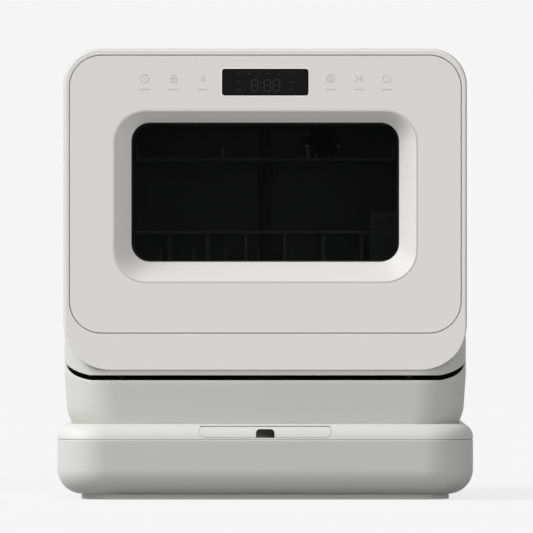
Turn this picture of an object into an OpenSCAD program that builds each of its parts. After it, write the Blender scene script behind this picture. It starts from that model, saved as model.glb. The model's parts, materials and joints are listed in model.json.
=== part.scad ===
// Countertop dishwasher with a drop-down door, on a pedestal that holds its water tank.
// Millimetres, +Z up, the door faces -Y. The origin is the centre of the footprint, on the worktop.

/* [Body] */
// Width of the cabinet and the door
body_w = 420; // [410:1:430]
// Depth of the cabinet with the door shut
body_d = 404; // [396:1:408]
// Height over everything
total_h = 470; // [464:1:490]
// Radius of the top corners, seen from the front
top_corner = 38; // [30:1:44]
// Radius of the front corners of the lower body, seen from above
plan_corner = 52; // [46:1:54]
// Radius of the rear corners
rear_corner = 12; // [8:1:16]
// Wall of the cabinet wrap
wrap_t = 2; // [1.5:0.1:2.5]
// Wall of the lower housing
housing_t = 3; // [2:0.1:4]
// Height of the seam between the lower housing and the wrap
wrap_seam_z = 145; // [144:0.5:148]
// Depth of the moulded back cover
back_cover_d = 16; // [14:1:22]
// Radius under the sides of the lower housing
foot_round = 40; // [30:1:50]

/* [Base] */
// Width of the pedestal
base_w = 434; // [430:1:444]
// Depth of the pedestal
base_d = 440; // [438:1:450]
// Height of the pedestal's flat top
base_h = 79; // [76:0.5:82]
// Height of the tub's rim, where the seam under its cover begins
seam_z = 62; // [60:0.5:63]
// Height of the open seam between the tub and the cover
seam_gap = 0.3; // [0.2:0.1:1]
// Plan corner of the pedestal
base_corner = 51; // [45:1:56]
// Round of the cover's top edge
cover_round = 13.5; // [10:0.5:15]
// Round of the cover's front slope
slope_r = 19.8; // [18:0.2:21]
// Round of the tub's bottom edge
tub_round = 26; // [20:1:28]
// Wall of the pedestal's tub
base_t = 3; // [2.5:0.1:4]
// Wall of the pedestal's cover
cover_t = 2.4; // [2:0.1:2.6]
// Open joint between the housing, the wrap and the back cover
joint_gap = 0.4; // [0.2:0.1:0.8]
// Distance from the pedestal's front to the door's face
front_setback = 22; // [21:0.5:24]
// Height of the plinth's top
plinth_top = 6; // [5:0.5:8]
// Distance from the pedestal's side to the plinth
plinth_inset = 25; // [20:1:35]
// How far the rubber feet stand out of the plinth
foot_out = 0.5; // [0.4:0.1:1.5]
// Radius of a rubber foot
foot_r = 12; // [8:1:16]

/* [Door] */
// Thickness of the door
door_t = 50; // [49:0.5:51]
// Gap between the door's back and the cabinet
split_gap = 2; // [1.5:0.1:2.5]
// Gap under the door, at the front
door_gap = 5.3; // [5:0.1:6]
// Height of the lower body's rim at the front
rim_z = 124.6; // [122:0.2:126]
// Height of the face's lower edge above the door's lower edge
face_lift = 5.7; // [5:0.1:7]
// Radius of the face's lower corners
face_corner = 48; // [42:1:52]
// How far the face stands in front of the lower body
face_proud = 1; // [0.5:0.1:1.5]
// Round of the face's edge
face_edge = 2.6; // [2:0.1:3]
// Wall of the door's sides
door_wall = 2.5; // [2:0.1:3]
// Thickness of the door's front wall
door_front_t = 5.5; // [5:0.1:6.5]
// Depth of the flat stretch before the door's underside rises
sweep_start = 6.2; // [5:0.1:8]
// Rise of the door's underside for each unit of depth
sweep_slope = 0.375; // [0.35:0.005:0.4]

/* [Front panel] */
// Distance from the face's sides to the gap round the inset panel
panel_margin = 6; // [5:0.5:8]
// Distance from the top of the machine to the gap round the inset panel
panel_drop = 6.8; // [6:0.1:8]
// Height of the panel's lower edge above the face's lower edge
panel_lift = 38.2; // [36:0.2:42]
// Radius of the panel's corners
panel_corner = 33.3; // [30:0.1:36]
// Thickness of the panel
panel_t = 2.5; // [2:0.1:3]
// Width of the dark gap round the panel
panel_gap = 1; // [0.6:0.1:1.4]
// Width of the display
display_w = 90.4; // [80:0.2:96]
// Height of the display
display_h = 28.1; // [24:0.1:30]
// Distance from the top of the machine to the middle of the display
display_drop = 35; // [33:0.5:37]

/* [Window] */
// Distance from the door's side to the glass
glass_side = 70.4; // [69:0.2:75]
// Distance from the top of the machine to the glass
glass_drop = 76.8; // [75:0.2:80]
// Height of the lower edge of the glass
glass_z = 248; // [246:0.1:252]
// Radius of the glass corners
glass_corner = 19.5; // [16:0.5:22]
// Width of the bevel at the sides
bevel_side = 18.7; // [17:0.1:22]
// Height of the bevel above the glass
bevel_top = 12.6; // [12:0.1:16]
// Height of the bevel below the glass
bevel_low = 21.5; // [18:0.1:23]
// Depth from the face to the glass
bevel_depth = 14; // [12:0.5:16]
// Radius of the bevel's outer corners
bevel_corner = 34; // [30:1:36]
// Thickness of a pane
pane_t = 4; // [3:0.5:5]

/* [Hinge] */
// Distance from the face back to the hinge axis
hinge_back = 9.5; // [9.3:0.1:9.8]
// Height of the hinge axis above the door's lower edge
hinge_up = 8.5; // [8.2:0.1:8.8]
// Radius of the hinge pin
hinge_pin_r = 2.5; // [2:0.1:2.8]
// Running clearance on the pin's radius
hinge_play = 0.05; // [0.02:0.01:0.09]
// Radius of the boss round the pin
hinge_boss_r = 5; // [4.6:0.1:5.1]
// Distance from the body's side to each hinge bracket
hinge_side = 60; // [58:1:70]
// Thickness of a hinge bracket
bracket_t = 6; // [4:0.5:7]

/* [Wash tub] */
// Distance from the body's side to the tub's inside
tub_side = 30; // [28:1:33]
// Height of the tub floor
tub_floor = 160; // [158:0.5:162]
// Distance from the top of the machine to the tub's roof
tub_roof = 30; // [28:1:34]
// Distance from the cabinet's back to the tub's outside
tub_rear_gap = 39; // [36:1:44]
// Radius of the tub's corners
tub_corner = 30; // [24:1:34]
// Wall of the tub
tub_t = 2; // [1:0.1:2.4]
// Depth by which the inner door stands into the tub
plug_d = 10; // [8:0.5:11]
// Clearance round the inner door in the tub's mouth
plug_clear = 8; // [7:0.5:10]

/* [Rack] */
// Distance from the inner door to the front of the rack
rack_gap = 22; // [21:1:26]
// Depth of the rack
rack_d = 262; // [240:1:264]
// Distance from the tub's side to the rack's outer wires
rack_side = 15; // [14:1:20]
// Height of the lower wires' middle
rack_z = 200; // [199:0.5:202]
// Height of the rim wire's middle above the lower wires
rack_h = 79; // [70:1:90]
// Radius of the coated wire
wire_r = 1.6; // [1.3:0.1:2]
// Height of the tines
tine_h = 62; // [50:1:80]
// Number of tines in a row
tine_count = 8; // [5:1:9]
// Number of base wires that run from front to back
base_wires = 9; // [7:2:11]
// Radius of a rack wheel
wheel_r = 8; // [7:0.5:9]
// Width of a rack wheel
wheel_w = 6; // [5:0.5:6.5]
// Radius of a wheel's stub axle
axle_r = 2; // [1.5:0.1:2.5]

/* [Shelf and basket] */
// Distance from the tub's roof down to the upper shelf's wires
shelf_drop = 84; // [74:1:94]
// Depth of the upper shelf
shelf_d = 190; // [160:1:200]
// Width of the cutlery basket
basket_w = 50; // [44:1:51]
// Depth of the cutlery basket
basket_d = 200; // [160:1:210]
// Height of the cutlery basket
basket_h = 97; // [80:1:110]
// Wall of the cutlery basket
basket_t = 2; // [1.5:0.1:2.5]

/* [Spray arms] */
// Reach of the lower spray arm from its middle
arm_reach = 138; // [126:1:140]
// Reach of the upper spray arm
top_arm_reach = 110; // [90:1:130]
// Thickness of a spray arm
arm_t = 10; // [8:0.5:11]
// Width of a spray arm at its middle
arm_w = 34; // [28:1:40]
// Radius of a nozzle
nozzle_r = 1.5; // [1.1:0.1:2]
// Radius of the post that an arm turns on
post_r = 7; // [6:0.5:8]
// Running clearance on a post's radius
post_play = 0.08; // [0.03:0.01:0.09]

/* [Inlet lid] */
// Length of the lid
lid_w = 137; // [120:1:150]
// Height of the lid along the slope, as an angle
lid_angle = 45; // [40:1:48]
// Angle of the lid's middle above the level
lid_mid = 41; // [38:1:43]
// Thickness of the lid
lid_t = 2.4; // [2:0.1:2.8]
// Clearance round the lid
lid_gap = 0.35; // [0.3:0.05:0.6]
// Width of the finger notch
notch_w = 19.2; // [16:0.2:24]
// Radius of the notch's upper corners
notch_r = 4; // [2:0.5:5]

/* [Rear connections] */
// Outer radius of the drain spigot
spigot_r = 9; // [7:0.5:11]
// Outer radius of the inlet thread
inlet_r = 13.2; // [10:0.1:14]
// Height of the connections
connect_z = 104; // [100:1:110]
// How far the connections stand out of the back
connect_out = 13; // [8:0.5:14]

/* [Hidden] */
$fn = 64;

// Small distances that many pieces share
seat = 0.3;
over = 1;

// Main planes
body_hw = body_w / 2;
base_hw = base_w / 2;
base_hd = base_d / 2;
face_y = -base_hd + front_setback;
low_front = face_y + face_proud;
body_back = face_y + body_d;
split_y = face_y + door_t;
frame_y = split_y + split_gap;
wrap_back = body_back - back_cover_d;

// Door heights and the hinge axis
door_low = rim_z + door_gap;
face_low = door_low + face_lift;
hinge_y = face_y + hinge_back;
hinge_z = door_low + hinge_up;
hinge_x = body_hw - hinge_side;
slot_clear = 0.5;

// Tub planes
flange_y = frame_y + 3;
tub_hw = body_hw - tub_side;
tub_top = total_h - tub_roof;
tub_back = body_back - tub_rear_gap;
plug_y = split_y + plug_d;
sump_y = 10;
sump_r = 60;

// Rack planes
rack_front = plug_y + rack_gap;
rack_back = rack_front + rack_d;
rack_hw = tub_hw - rack_side;
shelf_z = tub_top - shelf_drop;
rack_rim = rack_z + rack_h;
rail_top = rack_z - wire_r - wheel_r - seat - 0.1;
wheel_z = rail_top + seat + wheel_r;
wheel_inner = tub_hw - 10.5;
wheel_inset = 30;

// Inlet lid geometry: the slope is a quarter round about slope_y, slope_z
slope_y = -base_hd + slope_r;
slope_z = base_h - slope_r;
lid_hw = lid_w / 2;
lid_half = lid_angle / 2;
lid_cap_r = slope_r * sin(lid_half);
lid_pin_angle = lid_mid + lid_half - lid_t / 2 / slope_r * 180 / PI;
lid_mid_r = slope_r - lid_t / 2;
lid_pin_y = slope_y - lid_mid_r * cos(lid_pin_angle);
lid_pin_z = slope_z + lid_mid_r * sin(lid_pin_angle);
lid_pin_r = 0.8;
lid_pin_play = 0.05;
lid_straight = lid_hw - lid_cap_r;
lid_open = 110;
lid_turn_r = lid_t / 2 / cos(lid_open / 2) + 0.35;
lid_turn_gap = 2.15;
lid_pin_hw = lid_hw + 2.5;

// ---------- shared shapes ----------

// Rectangle about the middle, from v0 to v1, with its own radius at each end
module outline(hw, v0, v1, r0, r1) {
    translate([-hw, v0 + r0]) square([2 * hw, v1 - v0 - r0 - r1]);
    translate([-hw + r0, v0]) square([2 * (hw - r0), r0]);
    translate([-hw + r1, v1 - r1]) square([2 * (hw - r1), r1]);
    for (s = [-1, 1]) {
        translate([s * (hw - r0), v0 + r0]) circle(r0);
        translate([s * (hw - r1), v1 - r1]) circle(r1);
    }
}

// Extrudes an outline drawn in X and Z from y0 to y1
module along_y(y0, y1) {
    translate([0, y1, 0]) rotate([90, 0, 0]) linear_extrude(y1 - y0) children();
}

// Extrudes an outline drawn in Y and Z from x0 to x1
module along_x(x0, x1) {
    translate([x0, 0, 0]) rotate([90, 0, 90]) linear_extrude(x1 - x0) children();
}

module box(x0, x1, y0, y1, z0, z1) {
    translate([x0, y0, z0]) cube([x1 - x0, y1 - y0, z1 - z0]);
}

module rod_x(x0, x1, y, z, r) {
    translate([x0, y, z]) rotate([0, 90, 0]) cylinder(h = x1 - x0, r = r);
}

module rod_y(y0, y1, x, z, r) {
    translate([x, y1, z]) rotate([90, 0, 0]) cylinder(h = y1 - y0, r = r);
}

module rod_z(z0, z1, x, y, r) {
    translate([x, y, z0]) cylinder(h = z1 - z0, r = r);
}

// Box with plan corners r, its bottom edge rounded by low and its top edge by high
module pan(hw, hd, z0, z1, r, low, high) {
    along_y(-(hd - r), hd - r) outline(hw, z0, z1, low, high);
    along_x(-(hw - r), hw - r) outline(hd, z0, z1, low, high);
    for (sx = [0, 1], sy = [0, 1])
        mirror([sx, 0, 0]) mirror([0, sy, 0]) translate([hw - r, hd - r, 0])
            rotate_extrude(angle = 90) intersection() {
                outline(r, z0, z1, low, high);
                translate([0, z0]) square([r, z1 - z0]);
            }
}

// ---------- pedestal ----------

foot_x = base_hw - plinth_inset - 32;
foot_y = base_hd - plinth_inset - 32;
foot_pocket = 2.5;

module foot_places() {
    for (sx = [-1, 1], sy = [-1, 1]) translate([sx * foot_x, sy * foot_y, 0]) children();
}

module plinth() {
    color("#9b9b97") difference() {
        translate([0, 0, foot_out]) linear_extrude(plinth_top - foot_out)
            outline(base_hw - plinth_inset, -base_hd + plinth_inset, base_hd - plinth_inset, 34, 34);
        foot_places() translate([0, 0, -over]) cylinder(h = foot_out + foot_pocket + over, r = foot_r + seat);
    }
}

module rubber_feet() {
    color("#3b3b3b") foot_places() cylinder(h = foot_out + foot_pocket, r = foot_r);
}

module base_tub() {
    color("#b4b4b1") difference() {
        intersection() {
            pan(base_hw, base_hd, plinth_top, seam_z + 2 * base_corner, base_corner, tub_round, base_t);
            box(-base_w, base_w, -base_d, base_d, 0, seam_z);
        }
        intersection() {
            pan(base_hw - base_t, base_hd - base_t, plinth_top + base_t, seam_z + 2 * base_corner,
                base_corner - base_t, tub_round - base_t, base_t);
            box(-base_w, base_w, -base_d, base_d, 0, seam_z + over);
        }
    }
}

tank_hw = base_hw - base_t - 8;
tank_hd = base_hd - base_t - 8;
tank_low = plinth_top + base_t;
tank_top = 60;
tank_t = 2.4;
tank_corner = base_corner - base_t - 8;
filler_y0 = slope_y - 10;
filler_y1 = slope_y + 14;
filler_hw = 58;

module water_tank() {
    color("#dfe3e4") difference() {
        pan(tank_hw, tank_hd, tank_low, tank_top, tank_corner, 20, 6);
        pan(tank_hw - tank_t, tank_hd - tank_t, tank_low + tank_t, tank_top - tank_t,
            tank_corner - tank_t, 20 - tank_t, 6 - tank_t);
        box(-filler_hw, filler_hw, filler_y0, filler_y1, tank_top - 2 * tank_t, tank_top + over);
        rod_z(tank_top - 2 * tank_t, tank_top + over, feed_x, feed_y, suction_r + 1);
    }
}

// The stadium that the lid and its seat share, standing along the lid's middle direction
module lid_prism(grow, depth0, depth1) {
    translate([0, slope_y, slope_z]) rotate([90 - lid_mid, 0, 0])
        translate([0, 0, depth0]) linear_extrude(depth1 - depth0) {
            square([2 * (lid_hw - lid_cap_r), 2 * (lid_cap_r + grow)], center = true);
            for (s = [-1, 1]) translate([s * (lid_hw - lid_cap_r), 0]) circle(lid_cap_r + grow);
        }
}

// Curved layer of the front slope between two radii
module slope_layer(r0, r1, hw) {
    difference() {
        rod_x(-hw, hw, slope_y, slope_z, r1);
        rod_x(-hw - over, hw + over, slope_y, slope_z, r0);
    }
}

lip_t = 2;
lip_drop = 4;

// Ring of wall with the pedestal's plan, between two insets
module base_ring(outer, inner, z0, z1) {
    translate([0, 0, z0]) linear_extrude(z1 - z0) difference() {
        outline(base_hw - outer, -base_hd + outer, base_hd - outer, base_corner - outer, base_corner - outer);
        outline(base_hw - inner, -base_hd + inner, base_hd - inner, base_corner - inner, base_corner - inner);
    }
}

// What the front slope takes away from a box with the smaller side round
module slope_cut(r) {
    difference() {
        box(-base_w, base_w, -base_hd - over, slope_y, slope_z, base_h + over);
        rod_x(-base_w - over, base_w + over, slope_y, slope_z, r);
    }
}

module base_cover() {
    low = seam_z + seam_gap;
    color("#d8d6d2") difference() {
        union() {
            difference() {
                intersection() {
                    pan(base_hw, base_hd, 0, base_h, base_corner, base_t, cover_round);
                    box(-base_w, base_w, -base_d, base_d, low, base_h + over);
                }
                slope_cut(slope_r);
                difference() {
                    intersection() {
                        pan(base_hw - cover_t, base_hd - cover_t, 0, base_h - cover_t, base_corner - cover_t,
                            cover_t, cover_round - cover_t);
                        box(-base_w, base_w, -base_d, base_d, low - over, base_h);
                    }
                    slope_cut(slope_r - cover_t);
                }
            }
            // lip that drops inside the tub's rim
            base_ring(cover_t - 0.2, base_t + seat + lip_t, low, low + 1.6);
            base_ring(base_t + seat, base_t + seat + lip_t, seam_z - lip_drop, low + 1);
        }
        lid_prism(lid_gap, 0, slope_r + 5);
        rod_x(-lid_pin_hw - seat, lid_pin_hw + seat, lid_pin_y, lid_pin_z, lid_pin_r + lid_pin_play);
        // room for the lid's upper edge to turn
        intersection() {
            rod_x(-lid_hw, lid_hw, lid_pin_y, lid_pin_z, lid_turn_r);
            lid_prism(lid_turn_gap, 0, slope_r + 5);
        }
        rod_z(base_h - 2 * base_t, base_h + over, feed_x, feed_y, suction_r + 2);
    }
}

// Funnel from the lid down into the tank, with the ledge that the lid shuts on
module filler_neck() {
    color("#8f8f8c") difference() {
        union() {
            box(-filler_hw - 2, filler_hw + 2, filler_y0 - 1, filler_y1 + 2, tank_top, tank_top + 5);
            box(-filler_hw + seat, filler_hw - seat, filler_y0 + seat, filler_y1 - seat,
                tank_top - tank_t, tank_top + 1);
            box(-filler_hw - 2, filler_hw + 2, filler_y1, filler_y1 + 2, tank_top, base_h - cover_t);
        }
        box(-filler_hw + 2, filler_hw - 2, filler_y0 + 2, filler_y1 - 2, tank_top - tank_t - over,
            tank_top + 5 + over);
    }
}

module inlet_lid() {
    notch_top = slope_z + slope_r * sin(lid_mid + 7.8);
    color("#d8d6d2") {
        difference() {
            intersection() {
                slope_layer(slope_r - lid_t, slope_r, lid_hw + over);
                lid_prism(0, 0, slope_r + 5);
            }
            // finger notch, open at the lid's lower edge
            along_y(-base_hd - over, slope_y) {
                translate([-notch_w / 2, slope_z]) square([notch_w, notch_top - notch_r - slope_z]);
                translate([-notch_w / 2 + notch_r, slope_z])
                    square([notch_w - 2 * notch_r, notch_top - slope_z]);
                for (s = [-1, 1])
                    translate([s * (notch_w / 2 - notch_r), notch_top - notch_r]) circle(notch_r);
            }
            // the upper edge ends at the hinge line, where the barrel rounds it off
            translate([0, lid_pin_y, lid_pin_z]) rotate([90 - lid_pin_angle, 0, 0])
                box(-lid_hw - over, lid_hw + over, 0, 3 * lid_t, -2 * lid_t, 2 * lid_t);
        }
        rod_x(-lid_straight, lid_straight, lid_pin_y, lid_pin_z, lid_t / 2 - 0.05);
        rod_x(-lid_pin_hw, lid_pin_hw, lid_pin_y, lid_pin_z, lid_pin_r);
    }
}

// ---------- lower housing, wrap and back ----------

// Half width of the lower housing falls towards the pedestal and curls in at its foot
low_hw = body_hw - 1.9;
low_knee_z = 101;
knee_lap = 8;
sill_d = 6;

module foot_section(inset, top) {
    hw = low_hw - inset;
    r = foot_round - inset;
    polygon([[-hw, low_knee_z], [hw, low_knee_z], [body_hw - inset, door_low],
        [body_hw - inset, top], [-body_hw + inset, top], [-body_hw + inset, door_low]]);
    intersection() {
        union() {
            translate([-hw + r, low_knee_z - 2 * r]) square([2 * (hw - r), 2 * r + knee_lap]);
            for (s = [-1, 1]) translate([s * (hw - r), low_knee_z]) circle(r);
        }
        translate([-body_hw, base_h + inset]) square([body_w, low_knee_z + knee_lap - base_h - inset]);
    }
}

// Plan of the whole body
module body_plan(inset) {
    outline(body_hw - inset, low_front + inset, body_back - inset,
        plan_corner - inset, rear_corner - inset);
}

// Height of a surface that runs level and then rises towards the back
function sweep(z, y) = z + sweep_slope * max(0, y - low_front - sweep_start);

// Side view of the housing: level rim, rise towards the back, step up to the seam
module housing_side(drop) {
    z = rim_z - drop;
    step_y = frame_y + drop;
    top = wrap_seam_z + (drop > 0 ? over : 0);
    polygon([[face_y - over, 0], [face_y - over, z], [low_front + sweep_start, z], [step_y, sweep(z, step_y)],
        [step_y, top], [body_back + over, top], [body_back + over, 0]]);
}

module housing_solid(inset, drop) {
    intersection() {
        along_y(-base_d, base_d) foot_section(inset, wrap_seam_z);
        translate([0, 0, base_h + inset]) linear_extrude(wrap_seam_z - base_h - inset + over)
            body_plan(inset);
        along_x(-base_w, base_w) housing_side(drop);
    }
}

pump_z = 116;
feed_x = -110;
feed_y = 110;
suction_r = 6;

module lower_housing() {
    color("#b2b2af") difference() {
        housing_solid(0, 0);
        difference() {
            housing_solid(housing_t, housing_t + 0.2);
            // the sill under the tub's flange
            box(-body_w, body_w, frame_y - over, frame_y + sill_d, wrap_seam_z - 9, wrap_seam_z + 2 * over);
        }
        // opening of the tub and the rear: the housing is open on top behind the sill
        box(-body_hw + housing_t, body_hw - housing_t, frame_y + sill_d, body_back - rear_corner,
            wrap_seam_z - over, wrap_seam_z + over);
        // way through for the suction pipe
        rod_z(base_h - over, base_h + housing_t + over, feed_x, feed_y, suction_r + 2);
        // slots for the hinge brackets
        for (s = [-1, 1])
            translate([s * hinge_x, 0, 0])
                box(-bracket_t / 2 - slot_clear, bracket_t / 2 + slot_clear, leg_y0 - 8,
                    frame_y + sill_d + over, base_h + housing_t, wrap_seam_z + over);
        // rear connections
        rod_y(body_back - 2 * housing_t, body_back + over, drain_x, connect_z, spigot_r - 1.5);
        rod_y(body_back - 2 * housing_t, body_back + over, inlet_x, connect_z, inlet_r - 2);
        rod_y(body_back - 2 * housing_t, body_back + over, gland_x, connect_z, 6);
    }
}

module wrap_section(inset) {
    outline(body_hw - inset, 0, total_h - inset, top_corner, top_corner - inset);
}

module cabinet_wrap() {
    color("#d4d3d0") difference() {
        intersection() {
            along_y(frame_y, wrap_back) wrap_section(0);
            box(-body_w, body_w, -base_d, base_d, wrap_seam_z + joint_gap, total_h + over);
        }
        along_y(frame_y - over, wrap_back + over) wrap_section(wrap_t);
    }
}

vent_rows = 6;
vent_pitch = 9;
vent_w = 56;
vent_h = 3.5;

module cover_solid(inset) {
    intersection() {
        along_y(wrap_back + joint_gap, body_back - inset) wrap_section(inset);
        translate([0, 0, wrap_seam_z + joint_gap]) linear_extrude(total_h - wrap_seam_z) body_plan(inset);
        along_x(-body_w, body_w) intersection() {
            translate([-base_hd, 0]) square([base_hd + body_back - inset, total_h - inset]);
            union() {
                translate([-base_hd, 0]) square([base_hd + body_back - rear_corner, total_h]);
                translate([-base_hd, 0]) square([base_hd + body_back, total_h - rear_corner]);
                translate([body_back - rear_corner, total_h - rear_corner]) circle(rear_corner - inset);
            }
        }
    }
}

module back_cover() {
    color("#c6c6c2") difference() {
        cover_solid(0);
        translate([0, -over, 0]) cover_solid(wrap_t + 0.5);
        for (i = [0 : vent_rows - 1], s = [-1, 1])
            box(s * fan_x - vent_w / 2, s * fan_x + vent_w / 2,
                body_back - 2 * wrap_t - over, body_back + over, fan_z - 24 + i * vent_pitch, fan_z - 24 + i * vent_pitch + vent_h);
        screw_places() rod_y(body_back - rear_corner, body_back + over, 0, 0, 1.9);
    }
}

module screw_places() {
    for (s = [-1, 1], z = [wrap_seam_z + 18, (wrap_seam_z + total_h) / 2, total_h - 40])
        translate([s * (body_hw - 30), 0, z]) children();
}

module screws() {
    color("#c9cacb") screw_places() {
        rod_y(body_back, body_back + 1.8, 0, 0, 3.6);
        rod_y(body_back - 9, body_back + 0.5, 0, 0, 1.7);
    }
}

// ---------- wash tub and what sits in it ----------

module tub_solid(inset, y0) {
    hw = tub_hw + tub_t - inset;
    low = tub_floor - tub_t + inset;
    high = tub_top + tub_t - inset;
    back = tub_back - inset;
    r = tub_corner + tub_t - inset;
    intersection() {
        along_y(y0, back) outline(hw, low, high, r, r);
        linear_extrude(total_h) outline(hw, y0, back, over, r);
        along_x(-body_w, body_w) {
            translate([y0, low]) square([back - y0 - r, high - low]);
            translate([y0, low + r]) square([back - y0, high - low - 2 * r]);
            for (z = [low + r, high - r]) translate([back - r, z]) circle(r);
        }
    }
}

module wash_tub() {
    color("#cfd2d4") difference() {
        union() {
            along_y(flange_y, flange_y + tub_t)
                outline(body_hw - wrap_t - 0.5, wrap_seam_z, total_h - wrap_t - 0.5, 4,
                    top_corner - wrap_t - 0.5);
            tub_solid(0, flange_y);
        }
        tub_solid(tub_t, flange_y - over);
        rod_z(tub_floor - 2 * tub_t, tub_floor + over, 0, sump_y, sump_r - 3);
        box(-14, 14, flange_y - over, flange_y + tub_t + over, hook_z - 3, hook_z + 11);
        rod_y(tub_back - 2 * tub_t, tub_back + over, fan_x, fan_z, fan_hole_r);
    }
}

// Outline of the tub's mouth, grown
module mouth(grow) {
    outline(tub_hw + grow, tub_floor - grow, tub_top + grow, tub_corner + grow, tub_corner + grow);
}

// Soft ring round the tub's mouth, with a narrower lip towards the door
module door_seal() {
    color("#5c5d5e") {
        difference() {
            along_y(frame_y - 0.5, flange_y) mouth(9);
            along_y(frame_y - over, flange_y + over) mouth(1);
        }
        difference() {
            along_y(split_y + seat, frame_y) mouth(6);
            along_y(split_y, frame_y + over) mouth(3);
        }
    }
}

hook_z = tub_top + 13;

module latch_catch() {
    color("#8a8c8e") difference() {
        box(-20, 20, flange_y + tub_t, flange_y + 22, hook_z - 7, hook_z + 13);
        box(-12, 12, flange_y, flange_y + 23, hook_z - 3, hook_z + 11);
    }
}

leg_y0 = frame_y - 16;
leg_y1 = frame_y - 1;

// Bracket that carries the hinge pin: straight back from the pin, then down to the housing floor
module hinge_bracket(s) {
    translate([s * hinge_x, 0, 0]) difference() {
        along_x(-bracket_t / 2, bracket_t / 2) {
            translate([hinge_y, hinge_z]) circle(hinge_boss_r);
            translate([hinge_y, hinge_z - hinge_boss_r]) square([leg_y1 - hinge_y, 2 * hinge_boss_r]);
            translate([leg_y0, base_h + housing_t]) square([leg_y1 - leg_y0, hinge_z - base_h - housing_t]);
            translate([leg_y0, base_h + housing_t]) square([50, 4]);
            polygon([[leg_y1 - 1, base_h + housing_t + 2], [leg_y1 + 26, base_h + housing_t + 2],
                [leg_y1 - 1, base_h + housing_t + 34]]);
        }
        rod_x(-bracket_t, bracket_t, hinge_y, hinge_z, hinge_pin_r + hinge_play);
    }
}

module hinge_bracket_left() { color("#a7abaf") hinge_bracket(-1); }
module hinge_bracket_right() { color("#a7abaf") hinge_bracket(1); }

spring_wire_r = 0.8;
spring_turns = 5;
spring_len = 11;
spring_leg = 34;
spring_steps = 13;
spring_sides = 6;
spring_x0 = hinge_x - bracket_t / 2 - spring_wire_r - seat;

// One ring of a tube round the point p; u and v span the ring's plane
function ring(p, u, v, r, n) = [for (i = [0 : n - 1]) p + r * (cos(360 * i / n) * u + sin(360 * i / n) * v)];

// Balance spring coiled on the free end of the hinge pin, with one leg along the bracket
module torsion_spring(s) {
    coil_r = hinge_pin_r + seat + spring_wire_r;
    turns = spring_turns * spring_steps;
    steps = turns + 1;
    // the leg runs straight back beside the bracket, then the wire winds along the pin
    rings = concat(
        [ring([s * spring_x0, hinge_y + spring_leg, hinge_z + coil_r], [0, 0, 1], [s, 0, 0],
            spring_wire_r, spring_sides)],
        [for (k = [0 : turns]) let (a = 90 + 360 * k / spring_steps, x = spring_x0 - spring_len * k / turns)
            ring([s * x, hinge_y + coil_r * cos(a), hinge_z + coil_r * sin(a)],
                [0, cos(a), sin(a)], [s, 0, 0], spring_wire_r, spring_sides)]);
    points = [for (r = rings, p = r) p];
    sides = [for (k = [0 : steps - 1], i = [0 : spring_sides - 1]) let (a = k * spring_sides,
        j = (i + 1) % spring_sides)
        [a + i, a + j, a + spring_sides + j, a + spring_sides + i]];
    ends = [[for (i = [0 : spring_sides - 1]) spring_sides - 1 - i],
        [for (i = [0 : spring_sides - 1]) steps * spring_sides + i]];
    polyhedron(points, concat(sides, ends), convexity = 6);
}

module door_spring_left() { color("#9ba0a4") torsion_spring(-1); }
module door_spring_right() { color("#9ba0a4") torsion_spring(1); }

rail_t = 4;
rail_guide_t = 2.3;
rail_guide_h = 5;

// A ledge that the wheels run on, and a guide bar along its outer edge
module rack_rail(s) {
    mirror([s < 0 ? 1 : 0, 0, 0]) {
        box(wheel_inner - 1.5, tub_hw - seat, flange_y + 6, tub_back - tub_corner, rail_top - rail_t, rail_top);
        box(tub_hw - rail_guide_t, tub_hw - seat, flange_y + 6, tub_back - tub_corner, rail_top + seat,
            rail_top + rail_guide_h);
    }
}

module rack_rail_left() { color("#bfc2c4") rack_rail(-1); }
module rack_rail_right() { color("#bfc2c4") rack_rail(1); }

sump_low = base_h + housing_t + 8;
cup_x = -33;
cup_r = 18;
plate_z = tub_floor - tub_t - 4;

module sump() {
    color("#6f7275") {
        difference() {
            union() {
                rod_z(sump_low, tub_floor - tub_t, 0, sump_y, sump_r);
                rod_x(-sump_r - 14, -sump_r + 8, sump_y, pump_z, 12);
                rod_x(sump_r - 8, sump_r + 4, sump_y, pump_z, 12);
            }
            rod_z(sump_low + 3, tub_floor, 0, sump_y, sump_r - 3);
            rod_x(-sump_r - 15, sump_r + 15, sump_y, pump_z, 9);
        }
        // ledge for the filter plate and column for the lower arm
        difference() {
            rod_z(plate_z - 4, plate_z - 2, 0, sump_y, sump_r - 2);
            rod_z(plate_z - 5, plate_z, 0, sump_y, sump_r - 7);
        }
        rod_z(sump_low + 2, arm_z - 2, 0, sump_y, 11);
        rod_z(sump_low + 2, arm_z + arm_t + 4, 0, sump_y, post_r);
        rod_z(arm_z + arm_t + 1.5, arm_z + arm_t + 4, 0, sump_y, post_r + 3);
    }
}

module filter_plate() {
    color("#9a9da0") difference() {
        rod_z(plate_z - 2, plate_z, 0, sump_y, sump_r - 3 - seat);
        rod_z(plate_z - 3, plate_z + over, 0, sump_y, 11 + seat);
        rod_z(plate_z - 3, plate_z + over, cup_x, sump_y, cup_r + seat);
        for (ring_r = [26, 36, 46], a = [-120 : 16 : 120])
            translate([ring_r * cos(a), sump_y + ring_r * sin(a), plate_z - 3]) cylinder(h = 4, r = 1.8);
    }
}

module filter_cup() {
    color("#7d8184") difference() {
        union() {
            rod_z(sump_low + 3, plate_z + 1, cup_x, sump_y, cup_r);
            rod_z(plate_z, plate_z + 2, cup_x, sump_y, cup_r + 3);
        }
        rod_z(sump_low + 5, plate_z + 3, cup_x, sump_y, cup_r - 1.6);
        for (a = [0 : 30 : 150], z = [0 : 2])
            translate([cup_x, sump_y, sump_low + 14 + 16 * z]) rotate([0, 0, a])
                translate([-cup_r - over, -1.5, 0]) cube([2 * cup_r + 2 * over, 3, 9]);
    }
}

heater_r = 92;
heater_wire = 3.6;
heater_z = tub_floor + 6;

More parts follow.
